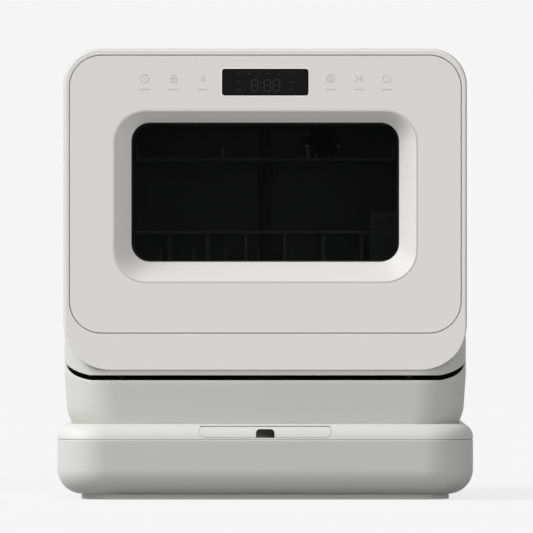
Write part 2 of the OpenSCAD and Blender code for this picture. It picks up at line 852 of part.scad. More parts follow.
module heater() {
    color("#b9bcbe") {
        translate([0, sump_y, heater_z]) rotate([0, 0, 97]) rotate_extrude(angle = 346)
            translate([heater_r, 0]) circle(heater_wire);
        for (a = [97, 83])
            translate([heater_r * cos(a), sump_y + heater_r * sin(a), tub_floor + seat])
                cylinder(h = heater_z + heater_wire + 1 - tub_floor - seat, r = heater_wire + 1);
    }
}

pump_x0 = sump_r + 4;

shaft_r = 3;

module wash_pump() {
    color("#55585b") difference() {
        union() {
            rod_x(pump_x0, pump_x0 + 28, sump_y, pump_z, 32);
            rod_x(pump_x0 + 27, pump_x0 + 82, sump_y, pump_z, 27);
            box(pump_x0 + 6, pump_x0 + 76, sump_y - 24, sump_y + 24, base_h + housing_t, pump_z - 18);
        }
        rod_x(pump_x0 + 3, pump_x0 + 25, sump_y, pump_z, 28);
        rod_x(pump_x0 - over, pump_x0 + 4, sump_y, pump_z, 9);
        rod_x(pump_x0 + 20, pump_x0 + 48, sump_y, pump_z, shaft_r + 0.06);
    }
}

module pump_impeller() {
    color("#c8ccd0") {
        rod_x(pump_x0 + 14, pump_x0 + 46, sump_y, pump_z, shaft_r);
        rod_x(pump_x0 + 16, pump_x0 + 18, sump_y, pump_z, 25);
        rod_x(pump_x0 + 8, pump_x0 + 17, sump_y, pump_z, 7);
        for (a = [0 : 60 : 300])
            translate([0, sump_y, pump_z]) rotate([a, 0, 0])
                box(pump_x0 + 8, pump_x0 + 17, 5, 24, -1, 1);
    }
}

module drain_pump() {
    color("#4f5255") {
        difference() {
            rod_x(-sump_r - 42, -sump_r - 14, sump_y, pump_z, 22);
            rod_x(-sump_r - 38, -sump_r - 13, sump_y, pump_z, 9);
        }
        rod_x(-sump_r - 80, -sump_r - 42, sump_y, pump_z, 18);
        box(-sump_r - 76, -sump_r - 18, sump_y - 16, sump_y + 16, base_h + housing_t, pump_z - 12);
    }
}

module feed_pump() {
    color("#4f5255") {
        rod_z(base_h + housing_t, base_h + housing_t + 34, feed_x, feed_y, 17);
        rod_z(tank_low + tank_t + 6, base_h + housing_t + 2, feed_x, feed_y, suction_r);
        rod_x(feed_x + 10, feed_x + 30, feed_y, base_h + housing_t + 24, 5);
    }
}

pipe_r = 6;
pipe_y = tub_back - tub_t - pipe_r - 2;
pipe_z = tub_top - pipe_r - 3;
elbow_y = tub_back - tub_t - tub_corner;
elbow = pipe_y - elbow_y;
clip_h = 12;

// Riser at the back, its slanting elbow in the tub's corner and the branch along the roof
module spray_pipe() {
    color("#a9adb0") {
        rod_z(tub_floor + tub_corner, pipe_z - elbow, 0, pipe_y, pipe_r);
        rod_y(pipe_y, tub_back - tub_t, 0, tub_floor + tub_corner + pipe_r + 2, pipe_r);
        translate([0, pipe_y, pipe_z - elbow]) sphere(pipe_r + 0.7);
        translate([0, pipe_y, pipe_z - elbow]) rotate([45, 0, 0]) cylinder(h = elbow * sqrt(2), r = pipe_r);
        translate([0, elbow_y, pipe_z]) sphere(pipe_r + 0.7);
        rod_y(sump_y, elbow_y, 0, pipe_z, pipe_r);
        rod_z(top_arm_z - 4, pipe_z + 3, 0, sump_y, post_r);
        rod_z(top_arm_z + arm_t + 1.5, tub_top, 0, sump_y, post_r + 4);
        rod_z(top_arm_z - 6, top_arm_z - 2, 0, sump_y, post_r + 4);
        for (z = [tub_floor + 40, fan_z - 44])
            box(-pipe_r - 3, pipe_r + 3, pipe_y, tub_back - tub_t, z, z + clip_h);
    }
}

arm_z = tub_floor + 12;
top_arm_z = tub_top - 28;

// Twin-bladed arm: a flat hollow blade with round tips, a hub and a row of nozzles on each blade
module spray_arm(reach, up) {
    tip = arm_w * 0.36;
    difference() {
        union() {
            intersection() {
                linear_extrude(arm_t) union() {
                    for (s = [0, 180]) rotate([0, 0, s]) polygon([[0, -arm_w / 2], [reach - tip, -tip],
                        [reach - tip, tip], [0, arm_w / 2]]);
                    for (s = [-1, 1]) translate([s * (reach - tip), 0]) circle(tip);
                }
                along_x(-reach - over, reach + over) outline(arm_w / 2 + 2, 0, arm_t, arm_t * 0.45, arm_t * 0.45);
            }
            cylinder(h = arm_t, r = post_r + 7);
        }
        translate([0, 0, -over]) cylinder(h = arm_t + 2 * over, r = post_r + post_play);
        for (s = [-1, 1], k = [0 : 4])
            translate([s * (reach - tip - k * (reach - 40) / 6), s * 3, up ? arm_t / 2 : -over])
                cylinder(h = arm_t / 2 + over, r = nozzle_r);
    }
}

module lower_spray_arm() {
    color("#b7bbbe") translate([0, sump_y, arm_z]) spray_arm(arm_reach, true);
}

module upper_spray_arm() {
    color("#b7bbbe") translate([0, sump_y, top_arm_z]) spray_arm(top_arm_reach, false);
}

shelf_hw = rack_hw;
shelf_y0 = rack_front + 30;
shelf_pitch = 30;

// Wire shelf under the roof: a frame, cross wires and a row of short prongs
module upper_shelf() {
    color("#8b8e90") {
        for (y = [shelf_y0, shelf_y0 + shelf_d]) rod_x(-shelf_hw, shelf_hw, y, shelf_z, wire_r);
        for (s = [-1, 1]) rod_y(shelf_y0, shelf_y0 + shelf_d, s * shelf_hw, shelf_z, wire_r);
        for (i = [-5 : 5]) rod_y(shelf_y0, shelf_y0 + shelf_d, i * shelf_pitch, shelf_z - 1.5, wire_r * 0.8);
        for (i = [-3 : 2 : 3]) rod_z(shelf_z - 1, shelf_z + 14, i * shelf_pitch * 1.5, shelf_y0, wire_r);
        for (x = [-shelf_hw, shelf_hw], y = [shelf_y0, shelf_y0 + shelf_d])
            translate([x, y, shelf_z]) sphere(wire_r);
    }
}

module shelf_hooks() {
    color("#a9adb0") for (s = [-1, 1], y = [shelf_y0 + 25, shelf_y0 + shelf_d - 25])
        translate([s * tub_hw, y, 0]) mirror([s > 0 ? 1 : 0, 0, 0]) {
            box(0, 2, -9, 9, shelf_z - 14, shelf_z + 12);
            box(0, tub_hw - shelf_hw + 4, -7, 7, shelf_z - wire_r - 5, shelf_z - wire_r - 0.2);
        }
}

fan_x = 62;
fan_z = tub_top - 60;
fan_r = 32;
fan_hw = fan_r + 8;
fan_d = 22;
fan_hole_r = 20;

module fan_housing() {
    bolt = fan_hw - 6;
    color("#3f4245") {
        difference() {
            box(fan_x - fan_hw, fan_x + fan_hw, tub_back, tub_back + fan_d, fan_z - fan_hw, fan_z + fan_hw);
            rod_y(tub_back + 3, tub_back + fan_d + over, fan_x, fan_z, fan_r + 2);
            rod_y(tub_back - over, tub_back + 4, fan_x, fan_z, fan_hole_r);
            for (s = [-1, 1], t = [-1, 1])
                rod_y(tub_back - over, tub_back + fan_d + over, fan_x + s * bolt, fan_z + t * bolt, 2.2);
        }
        rod_y(tub_back, tub_back + 8, fan_x, fan_z, 2.5);
        for (a = [0, 90]) translate([fan_x, 0, fan_z]) rotate([0, a, 0])
            box(-fan_hole_r - 2, fan_hole_r + 2, tub_back, tub_back + 2.5, -2, 2);
    }
}

module fan_rotor() {
    blade = fan_r - 11;
    color("#2f3133") difference() {
        union() {
            rod_y(tub_back + 5, tub_back + 19, fan_x, fan_z, 12);
            for (a = [0 : 45 : 315])
                translate([fan_x, tub_back + 12, fan_z]) rotate([0, a, 0]) translate([blade, 0, 0])
                    rotate([38, 0, 0]) cube([blade, 1.6, 14], center = true);
        }
        rod_y(tub_back + 4, tub_back + 12, fan_x, fan_z, 2.5 + hinge_play);
    }
}

drain_x = -120;
inlet_x = -70;
gland_x = 130;

module drain_spigot() {
    color("#6b6e70") difference() {
        union() {
            rod_y(body_back, body_back + connect_out, drain_x, connect_z, spigot_r);
            rod_y(body_back, body_back + 2, drain_x, connect_z, spigot_r + 4);
        }
        rod_y(body_back - over, body_back + connect_out + over, drain_x, connect_z, spigot_r - 2);
    }
}

module inlet_connector() {
    color("#8f9295") difference() {
        union() {
            rod_y(body_back, body_back + connect_out, inlet_x, connect_z, inlet_r);
            rod_y(body_back, body_back + 2, inlet_x, connect_z, inlet_r + 3);
        }
        rod_y(body_back - over, body_back + connect_out + over, inlet_x, connect_z, inlet_r - 5);
    }
}

module cord_gland() {
    color("#2e2f30") difference() {
        rod_y(body_back, body_back + 6, gland_x, connect_z, 9);
        rod_y(body_back - over, body_back + 7, gland_x, connect_z, 3.6);
    }
}

// ---------- door ----------

// The door's region over its swept underside, in Y and Z
module above_door_sweep(lift) {
    polygon([[face_y - over, door_low + lift], [low_front + sweep_start, door_low + lift],
        [split_y, sweep(door_low, split_y) + lift], [split_y, total_h + over], [face_y - over, total_h + over]]);
}

module face_section(inset) {
    outline(body_hw - inset, face_low + inset, total_h - inset, face_corner - inset, top_corner - inset);
}

// The face's outline from the front back to the split, its front edge rounded
module face_solid() {
    middle = (face_low + total_h) / 2;
    half = (total_h - face_low) / 2;
    intersection() {
        translate([0, 0, middle]) rotate([90, 0, 0])
            pan(body_hw, half, -split_y - over, -face_y, top_corner, face_edge, face_edge);
        box(-body_w, body_w, face_y - over, split_y + over, middle, total_h + over);
    }
    intersection() {
        translate([0, 0, middle]) rotate([90, 0, 0])
            pan(body_hw, half, -split_y - over, -face_y, face_corner, face_edge, face_edge);
        box(-body_w, body_w, face_y - over, split_y + over, face_low - over, middle);
    }
}

module hinge_slots() {
    for (s = [-1, 1]) mirror([s < 0 ? 1 : 0, 0, 0])
        box(spring_x0 - spring_len - 2, hinge_x + bracket_t / 2 + 5.5, hinge_y - hinge_boss_r - slot_clear,
            split_y + over, door_low - over, hinge_z + hinge_boss_r + slot_clear);
}

panel_hw = body_hw - panel_margin;
panel_low = face_low + panel_lift;
panel_high = total_h - panel_drop;
wall_back = face_y + door_front_t;
display_z = total_h - display_drop;
glass_hw = body_hw - glass_side;
glass_high = total_h - glass_drop;
bevel_hw = glass_hw + bevel_side;
bevel_z0 = glass_z - bevel_low;
bevel_z1 = glass_high + bevel_top;

module bevel_section(grow) {
    outline(bevel_hw + grow, bevel_z0 - grow, bevel_z1 + grow, bevel_corner + grow, bevel_corner + grow);
}

module glass_section(grow) {
    outline(glass_hw + grow, glass_z - grow, glass_high + grow, glass_corner + grow, glass_corner + grow);
}

module display_section(grow) {
    outline(display_w / 2 + grow, display_z - display_h / 2 - grow, display_z + display_h / 2 + grow,
        3 + grow, 3 + grow);
}

module panel_section(grow) {
    outline(panel_hw + grow, panel_low - grow, panel_high + grow, panel_corner + grow, panel_corner + grow);
}

module door_frame() {
    color("#d4d2cf") difference() {
        intersection() {
            face_solid();
            along_x(-body_w, body_w) above_door_sweep(0);
        }
        intersection() {
            along_y(wall_back, split_y + over) face_section(door_wall);
            along_x(-body_w, body_w) above_door_sweep(door_wall + 0.3);
        }
        along_y(wall_back, split_y + 2 * over) intersection() {
            face_section(door_wall);
            translate([-body_w, sweep(door_low, split_y) + door_wall + 0.3]) square([2 * body_w, total_h]);
        }
        along_y(face_y - over, face_y + panel_t) panel_section(panel_gap / 2);
        along_y(face_y, wall_back + over) bevel_section(0.4);
        along_y(face_y, wall_back + over) display_section(3);
        hinge_slots();
    }
}

module door_lower_cap() {
    color("#b2b2af") difference() {
        intersection() {
            translate([0, 0, door_low]) linear_extrude(face_low + face_corner - door_low) body_plan(0);
            along_x(-body_w, body_w) above_door_sweep(0);
        }
        along_y(face_y - over, split_y + over) face_section(0);
        hinge_slots();
    }
}

module door_panel() {
    color("#d4d2cf") difference() {
        along_y(face_y, face_y + panel_t) panel_section(-panel_gap / 2);
        along_y(face_y - over, face_y + panel_t + over) bevel_section(seat);
        along_y(face_y - over, face_y + panel_t + over) display_section(0.25);
    }
}

bevel_rim = 1.2;
glass_y = face_y + bevel_depth;
bezel_flange = 6;

module window_bezel() {
    color("#c9c8c4") difference() {
        union() {
            along_y(face_y, glass_y) bevel_section(0);
            along_y(wall_back, wall_back + 3) bevel_section(bezel_flange);
        }
        hull() {
            along_y(face_y - 0.01, face_y) bevel_section(-bevel_rim);
            along_y(glass_y, glass_y + 0.01) glass_section(0);
        }
    }
}

module window_glass() {
    color("#101112", 0.6) along_y(glass_y, glass_y + pane_t) glass_section(5);
}

module display_lens() {
    color("#1b1b1c") along_y(face_y, face_y + panel_t + 1) display_section(0);
}

board_y = wall_back + 2;
board_hw = body_hw - 70;
board_z0 = bevel_z1 + bezel_flange + 3;
board_z1 = total_h - 14;

module control_board() {
    color("#2f6b46") {
        box(-board_hw, board_hw, board_y, board_y + 1.6, board_z0, board_z1);
        for (x = [-board_hw + 6, board_hw - 6], z = [board_z0 + 5, board_z1 - 5])
            rod_y(wall_back, board_y + 0.5, x, z, 3);
        for (x = [-board_hw + 40, board_hw - 70, board_hw - 40])
            box(x - 12, x + 12, board_y + 1, board_y + 10, board_z0 + 8, board_z0 + 22);
    }
    color("#1c1d1e")
        box(-display_w / 2 + 1, display_w / 2 - 1, face_y + panel_t + 1, board_y + 0.5,
            display_z - display_h / 2 + 1, display_z + display_h / 2 - 1);
}

plug_hw = tub_hw - plug_clear;
plug_low = tub_floor + plug_clear;
plug_high = tub_top - plug_clear;
plug_corner = tub_corner - 6;
liner_t = 2;
liner_low = sweep(door_low, split_y) + door_wall + 0.3 + 0.6;

module plug_section(inset) {
    outline(plug_hw - inset, plug_low + inset, plug_high - inset, plug_corner - inset, plug_corner - inset);
}

dispenser_x0 = -18;
dispenser_x1 = 70;
dispenser_z0 = plug_low + 12;
dispenser_z1 = glass_z - 22;
dispenser_deep = 26;

module door_liner() {
    color("#d9dbdc") difference() {
        union() {
            along_y(split_y - liner_t, split_y)
                outline(body_hw - door_wall - 0.5, liner_low, total_h - door_wall - 0.5,
                    face_corner - door_wall - 0.5 - (liner_low - face_low - door_wall), top_corner - door_wall - 0.5);
            along_y(split_y - liner_t, plug_y) plug_section(0);
        }
        along_y(split_y - liner_t - over, plug_y - liner_t) plug_section(liner_t);
        along_y(split_y - 3 * liner_t, plug_y + over) glass_section(-2);
        box(dispenser_x0 - 0.2, dispenser_x1 + 0.2, split_y - 3 * liner_t, plug_y + over,
            dispenser_z0 - 0.2, dispenser_z1 + 0.2);
    }
}

module inner_glass() {
    color("#15181a", 0.5) along_y(plug_y - liner_t - pane_t, plug_y - liner_t) glass_section(4);
}

module latch_hook() {
    color("#8f9295") {
        box(-10, 10, split_y, split_y + 22, hook_z, hook_z + 5);
        box(-10, 10, split_y + 18, split_y + 22, hook_z, hook_z + 7.5);
        box(-16, 16, split_y, split_y + 1.6, hook_z - 2.5, hook_z + 8);
    }
}

cup_x0 = dispenser_x0 + 6;
cup_x1 = dispenser_x0 + 46;
cup_z0 = dispenser_z0 + 7;
cup_z1 = dispenser_z1 - 7;

module dispenser_body() {
    color("#e3e4e3") difference() {
        box(dispenser_x0, dispenser_x1, plug_y - dispenser_deep, plug_y, dispenser_z0, dispenser_z1);
        box(cup_x0, cup_x1, plug_y - dispenser_deep + 3, plug_y + over, cup_z0, cup_z1);
        // shallow open cup for the prewash beside the main one
        box(cup_x1 + 6, dispenser_x1 - 5, plug_y - 4, plug_y + over, cup_z0, cup_z1);
    }
}

// Sliding cover of the main cup, with a thumb ridge
module dispenser_shutter() {
    color("#cfd1d1") {
        box(cup_x0 - 3, cup_x1 + 3, plug_y + seat, plug_y + seat + 1.6, cup_z0 - 3, cup_z1 + 3);
        box(cup_x1 - 8, cup_x1 - 5, plug_y + seat + 1, plug_y + seat + 4, cup_z0 + 3, cup_z1 - 3);
    }
}

// Arm inside the door that carries the hinge pin, with a flange against the front wall
module hinge_arm(s) {
    x0 = hinge_x + bracket_t / 2 + 1;
    top = bevel_z0 - bezel_flange - 4;
    mirror([s < 0 ? 1 : 0, 0, 0]) {
        along_x(x0, x0 + 3) {
            translate([hinge_y, hinge_z]) circle(hinge_boss_r);
            translate([wall_back, hinge_z]) square([hinge_y + hinge_boss_r - wall_back, top - hinge_z]);
            translate([hinge_y, hinge_z + 12]) square([16, top - hinge_z - 12]);
        }
        box(x0, x0 + 18, wall_back, wall_back + 2, hinge_z + 14, top);
        rod_x(spring_x0 - spring_len - 1.4, x0 + 3, hinge_y, hinge_z, hinge_pin_r);
    }
}

module hinge_arm_left() { color("#9fa3a7") hinge_arm(-1); }
module hinge_arm_right() { color("#9fa3a7") hinge_arm(1); }

// ---------- rack ----------

tine_rows = [0.42, 0.62];
basket_x1 = rack_hw - 2.6 * wire_r - seat;
basket_x0 = basket_x1 - basket_w;
rack_mid_y = (rack_front + rack_back) / 2;

// Coated wire rack. Each side, the floor and each row of tines is a welded grid of its own, its wires
// crossing side by side and sunk a little into each other. The grids stand on and against one another.
rack_lap = 1.6 * wire_r;
rack_stub = 0.75 * wire_r;
rack_touch = 0.1;
rack_sx = rack_hw - rack_lap;
rack_y0 = rack_front + rack_lap;
rack_y1 = rack_back - rack_lap;
rack_cross_z = rack_z + rack_lap;
rack_mid_z = rack_z + rack_h / 2;
rack_pitch = 2 * rack_sx / (base_wires - 1);
tine_x1 = basket_x0 - 14;
tine_pitch = (tine_x1 + rack_sx - 16) / (tine_count - 1);

module rack_floor() {
    for (i = [0 : base_wires - 1])
        rod_y(rack_y0 - rack_stub, rack_y1 + rack_stub, -rack_sx + i * rack_pitch, rack_z, wire_r);
    for (y = [rack_y0, rack_mid_y - rack_d / 6, rack_mid_y + rack_d / 6, rack_y1])
        rod_x(-rack_sx - rack_stub, rack_sx + rack_stub, y, rack_cross_z, wire_r);
}

// Front or back wall: uprights on the end cross wire, with a rim and a middle wire outside them
module rack_end(y, out) {
    low = rack_cross_z + wire_r + rack_touch;
    for (i = [0 : base_wires - 2])
        rod_z(low, rack_rim + rack_stub, -rack_sx + (i + 0.5) * rack_pitch, y, wire_r);
    for (z = [rack_mid_z, rack_rim])
        rod_x(-rack_hw - wire_r, rack_hw + wire_r, y + out * rack_lap, z, wire_r);
}

// Side wall: uprights on the outermost base wire; its rim and middle wire butt against the end walls
module rack_flank(s) {
    low = rack_z + wire_r + rack_touch;
    for (k = [0.5 : 4.5])
        rod_z(low, rack_rim + rack_stub, s * rack_sx, rack_front + k * rack_d / 5, wire_r);
    for (z = [rack_mid_z, rack_rim])
        rod_y(rack_front + wire_r + rack_touch, rack_back - wire_r - rack_touch, s * rack_hw, z, wire_r);
}

// Row of tines along a wire that lies across the base wires
module tine_row(y) {
    z = rack_z + 2 * wire_r + rack_touch;
    rod_x(-rack_sx - rack_stub, tine_x1 + 4, y + rack_lap, z, wire_r);
    for (k = [0 : tine_count - 1]) {
        x = -rack_sx + 16 + k * tine_pitch;
        rod_z(z - rack_stub, rack_z + tine_h, x, y, wire_r);
        translate([x, y, rack_z + tine_h]) sphere(wire_r + 0.3);
    }
}

// Short post on the outermost base wire with the stub axle of one wheel
module wheel_axle(s, y) {
    post_x = rack_sx + wire_r + axle_r + rack_touch;
    mirror([s < 0 ? 1 : 0, 0, 0]) {
        rod_x(post_x, wheel_inner + wheel_w + 1.5, y, wheel_z, axle_r);
        rod_z(wheel_z - axle_r - 0.6, rack_z + wheel_r * 2, post_x, y, axle_r);
    }
}

module dish_rack() {
    color("#8b8e90") {
        rack_floor();
        rack_end(rack_y0, -1);
        rack_end(rack_y1, 1);
        for (s = [-1, 1]) rack_flank(s);
        for (f = tine_rows) tine_row(rack_front + f * rack_d);
        for (s = [-1, 1], y = wheel_ys) wheel_axle(s, y);
    }
}

wheel_ys = [rack_front + wheel_inset, rack_back - wheel_inset];

module rack_wheel(s, y) {
    color("#6a6d6f") mirror([s < 0 ? 1 : 0, 0, 0]) difference() {
        union() {
            rod_x(wheel_inner, wheel_inner + wheel_w, y, wheel_z, wheel_r - 0.8);
            rod_x(wheel_inner + 1, wheel_inner + wheel_w - 1, y, wheel_z, wheel_r);
        }
        rod_x(wheel_inner - over, wheel_inner + wheel_w + over, y, wheel_z, axle_r + 0.06);
    }
}

module rack_wheel_front_left() { rack_wheel(-1, wheel_ys[0]); }
module rack_wheel_front_right() { rack_wheel(1, wheel_ys[0]); }
module rack_wheel_rear_left() { rack_wheel(-1, wheel_ys[1]); }
module rack_wheel_rear_right() { rack_wheel(1, wheel_ys[1]); }

basket_z0 = rack_cross_z + wire_r + seat;
basket_z1 = basket_z0 + basket_h;

// Cutlery basket: slotted walls and floor, two partitions
module cutlery_basket() {
    y0 = rack_mid_y - basket_d / 2;
    y1 = rack_mid_y + basket_d / 2;
    cell = (basket_d - 4 * basket_t) / 3;
    slot = 5;
    color("#808385") difference() {
        box(basket_x0, basket_x1, y0, y1, basket_z0, basket_z1);
        for (k = [0 : 2]) box(basket_x0 + basket_t, basket_x1 - basket_t, y0 + basket_t + k * (cell + basket_t),
            y0 + basket_t + k * (cell + basket_t) + cell, basket_z0 + basket_t, basket_z1 + over);
        for (k = [0 : 2], j = [0 : 4], row = [0, 1]) {
            y = y0 + basket_t + k * (cell + basket_t) + cell * (j + 0.5) / 5;
            box(basket_x0 - over, basket_x1 + over, y - slot / 2, y + slot / 2,
                basket_z0 + 12 + row * 36, basket_z0 + 38 + row * 36);
        }
        for (k = [0 : 2], j = [0 : 3])
            box(basket_x0 + 6, basket_x1 - 6, y0 + basket_t + k * (cell + basket_t) + cell * (j + 0.5) / 4 - 3,
                y0 + basket_t + k * (cell + basket_t) + cell * (j + 0.5) / 4 + 3, basket_z0 - over, basket_z0 + 4);
    }
}

plinth();
rubber_feet();
base_tub();
water_tank();
base_cover();
filler_neck();
inlet_lid();
lower_housing();
cabinet_wrap();
back_cover();
wash_tub();
door_seal();
latch_catch();
hinge_bracket_left();
hinge_bracket_right();
door_spring_left();
door_spring_right();
rack_rail_left();
rack_rail_right();
sump();
filter_cup();
filter_plate();
heater();
wash_pump();
pump_impeller();
drain_pump();
feed_pump();
spray_pipe();
lower_spray_arm();
upper_spray_arm();
upper_shelf();
shelf_hooks();
fan_housing();
fan_rotor();
drain_spigot();
inlet_connector();
cord_gland();
screws();
door_frame();
door_lower_cap();
door_panel();
window_bezel();
window_glass();
display_lens();
control_board();
door_liner();
inner_glass();
latch_hook();
dispenser_body();
dispenser_shutter();
hinge_arm_left();
hinge_arm_right();
dish_rack();
cutlery_basket();
rack_wheel_front_left();
rack_wheel_front_right();
rack_wheel_rear_left();
rack_wheel_rear_right();
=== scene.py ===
import json
import math
from contextlib import contextmanager

import bmesh
import bpy
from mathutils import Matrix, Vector

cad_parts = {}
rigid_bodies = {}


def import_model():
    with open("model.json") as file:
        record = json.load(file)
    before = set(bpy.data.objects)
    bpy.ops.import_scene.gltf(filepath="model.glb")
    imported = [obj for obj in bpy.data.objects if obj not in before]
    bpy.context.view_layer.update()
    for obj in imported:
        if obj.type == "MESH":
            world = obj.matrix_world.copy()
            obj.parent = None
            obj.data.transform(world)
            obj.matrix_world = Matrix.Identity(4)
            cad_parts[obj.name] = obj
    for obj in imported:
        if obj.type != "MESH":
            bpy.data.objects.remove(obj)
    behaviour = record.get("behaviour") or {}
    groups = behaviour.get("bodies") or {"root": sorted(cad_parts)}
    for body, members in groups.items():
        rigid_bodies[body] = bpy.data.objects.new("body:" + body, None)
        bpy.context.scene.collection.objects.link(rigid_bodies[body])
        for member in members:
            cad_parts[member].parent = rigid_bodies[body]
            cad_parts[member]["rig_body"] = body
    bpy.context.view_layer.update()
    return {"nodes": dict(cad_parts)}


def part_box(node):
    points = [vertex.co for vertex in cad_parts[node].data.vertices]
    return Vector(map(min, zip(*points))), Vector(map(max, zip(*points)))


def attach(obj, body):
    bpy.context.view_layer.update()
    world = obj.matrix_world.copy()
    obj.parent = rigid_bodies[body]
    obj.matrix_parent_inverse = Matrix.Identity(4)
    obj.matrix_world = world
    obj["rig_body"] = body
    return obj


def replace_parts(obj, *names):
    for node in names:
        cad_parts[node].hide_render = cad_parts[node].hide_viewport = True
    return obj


mm = 0.001
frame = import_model()
cadNodes = frame["nodes"]
scene = bpy.context.scene
print("frame loaded")


def span(node):
    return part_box(node)


# main places, all read from the frame; in the functions below, g is the piece's settings
faceLow, faceHigh = span("door_frame")
lensLow, lensHigh = span("display_lens")
bezelLow, bezelHigh = span("window_bezel")
paneLow, paneHigh = span("window_glass")
faceY = faceLow.y

cameraSettings = {"distance": 9.0, "frameWidth": 0.5549, "middleX": 0.0013, "middleZ": 0.2431,
                  "clipEnd": 100}


def makeCamera(settings):
    data = bpy.data.cameras.new("camera")
    data.lens = data.sensor_width * settings["distance"] / settings["frameWidth"]
    data.clip_end = settings["clipEnd"]
    camera = bpy.data.objects.new("camera", data)
    camera.location = (settings["middleX"], faceY - settings["distance"], settings["middleZ"])
    camera.rotation_euler = (math.radians(90), 0, 0)
    scene.collection.objects.link(camera)
    scene.camera = camera


makeCamera(cameraSettings)
print("camera placed")


def hexColor(code):
    channels = [int(code[i:i + 2], 16) / 255 for i in (0, 2, 4)]
    return [c / 12.92 if c <= 0.04045 else ((c + 0.055) / 1.055) ** 2.4 for c in channels] + [1.0]


# Adds a node; a setting is the node's own property where it has one of that name, else a socket's value
def addNode(tree, kind, settings=None, links=None):
    node = tree.nodes.new(kind)
    for name, value in (settings or {}).items():
        if isinstance(name, str) and hasattr(node, name):
            setattr(node, name, value)
        else:
            node.inputs[name].default_value = value
    for name, source in (links or {}).items():
        tree.links.new(source, node.inputs[name])
    return node


# the Mix node's colour sockets, by place: they share their names with its other kinds of value
mixFactor, mixFirst, mixSecond, mixedColor = 0, 6, 7, 2


def emptyTree(owner):
    owner.use_nodes = True
    owner.node_tree.nodes.clear()
    return owner.node_tree


# settings that go straight to a socket of the shader; the others stay at its typical values
shaderSockets = {"roughness": "Roughness", "metallic": "Metallic", "specular": "Specular IOR Level",
                 "alpha": "Alpha"}


def newMaterial(settings):
    material = bpy.data.materials.new(settings["name"])
    tree = emptyTree(material)
    given = {socket: settings[key] for key, socket in shaderSockets.items() if key in settings}
    shader = addNode(tree, "ShaderNodeBsdfPrincipled", given)
    addNode(tree, "ShaderNodeOutputMaterial", links={"Surface": shader.outputs[0]})
    place = addNode(tree, "ShaderNodeTexCoord").outputs["Object"]
    return material, tree, shader, place


# Colour that wanders between two close tones over patches of a real size, in millimetres
def wander(tree, place, toneA, toneB, patch):
    noise = addNode(tree, "ShaderNodeTexNoise", {"Scale": 1 / (patch * mm), "Detail": 2.0},
                    {"Vector": place})
    tone = addNode(tree, "ShaderNodeMix",
                   {"data_type": "RGBA", mixFirst: hexColor(toneA), mixSecond: hexColor(toneB)},
                   {mixFactor: noise.outputs["Fac"]})
    return tone.outputs[mixedColor]


# Fine grain in the surface; stretch squeezes it into brush lines along one axis
def grain(tree, place, shader, size, height, stretch=(1, 1, 1)):
    mapped = addNode(tree, "ShaderNodeMapping", {"Scale": stretch}, {"Vector": place})
    noise = addNode(tree, "ShaderNodeTexNoise", {"Scale": 1 / (size * mm), "Detail": 2.0},
                    {"Vector": mapped.outputs[0]})
    bump = addNode(tree, "ShaderNodeBump", {"Strength": 1.0, "Distance": height * mm},
                   {"Height": noise.outputs["Fac"]})
    tree.links.new(bump.outputs[0], shader.inputs["Normal"])


# Roughness that varies between two values, so that highlights break up a little
def uneven(tree, place, shader, low, high, patch):
    noise = addNode(tree, "ShaderNodeTexNoise", {"Scale": 1 / (patch * mm), "Detail": 3.0},
                    {"Vector": place})
    varied = addNode(tree, "ShaderNodeMapRange", {"To Min": low, "To Max": high},
                     {0: noise.outputs["Fac"]})
    tree.links.new(varied.outputs[0], shader.inputs["Roughness"])


faceSettings = {"name": "paintedFaceAbs", "specular": 0.25, "litFrontTones": ("d5d3d0", "d3d1ce", 60),
                "moulded": "aeaeab", "litFrontDepth": (0.35 * mm, 0.55 * mm), "uneven": (0.46, 0.54, 30),
                "grain": (0.8, 0.012)}


# Door face: ABS, spark-eroded satin. The flat front gets a lighter tone as painted light for the extra
# light it catches, and the rounded edges a darker tone as painted shade.
def makeFaceFinish(g):
    material, tree, shader, place = newMaterial(g)
    parts = addNode(tree, "ShaderNodeSeparateXYZ", links={0: place})
    full, none = g["litFrontDepth"]
    onFront = addNode(tree, "ShaderNodeMapRange", {"From Min": faceY + none, "From Max": faceY + full},
                      {0: parts.outputs["Y"]})
    # painted light on the front and painted shade on the edges of one and the same ABS
    both = addNode(tree, "ShaderNodeMix", {"data_type": "RGBA", mixFirst: hexColor(g["moulded"])},
                   {mixFactor: onFront.outputs[0], mixSecond: wander(tree, place, *g["litFrontTones"])})
    tree.links.new(both.outputs[mixedColor], shader.inputs["Base Color"])
    grain(tree, place, shader, *g["grain"])
    uneven(tree, place, shader, *g["uneven"])
    return material


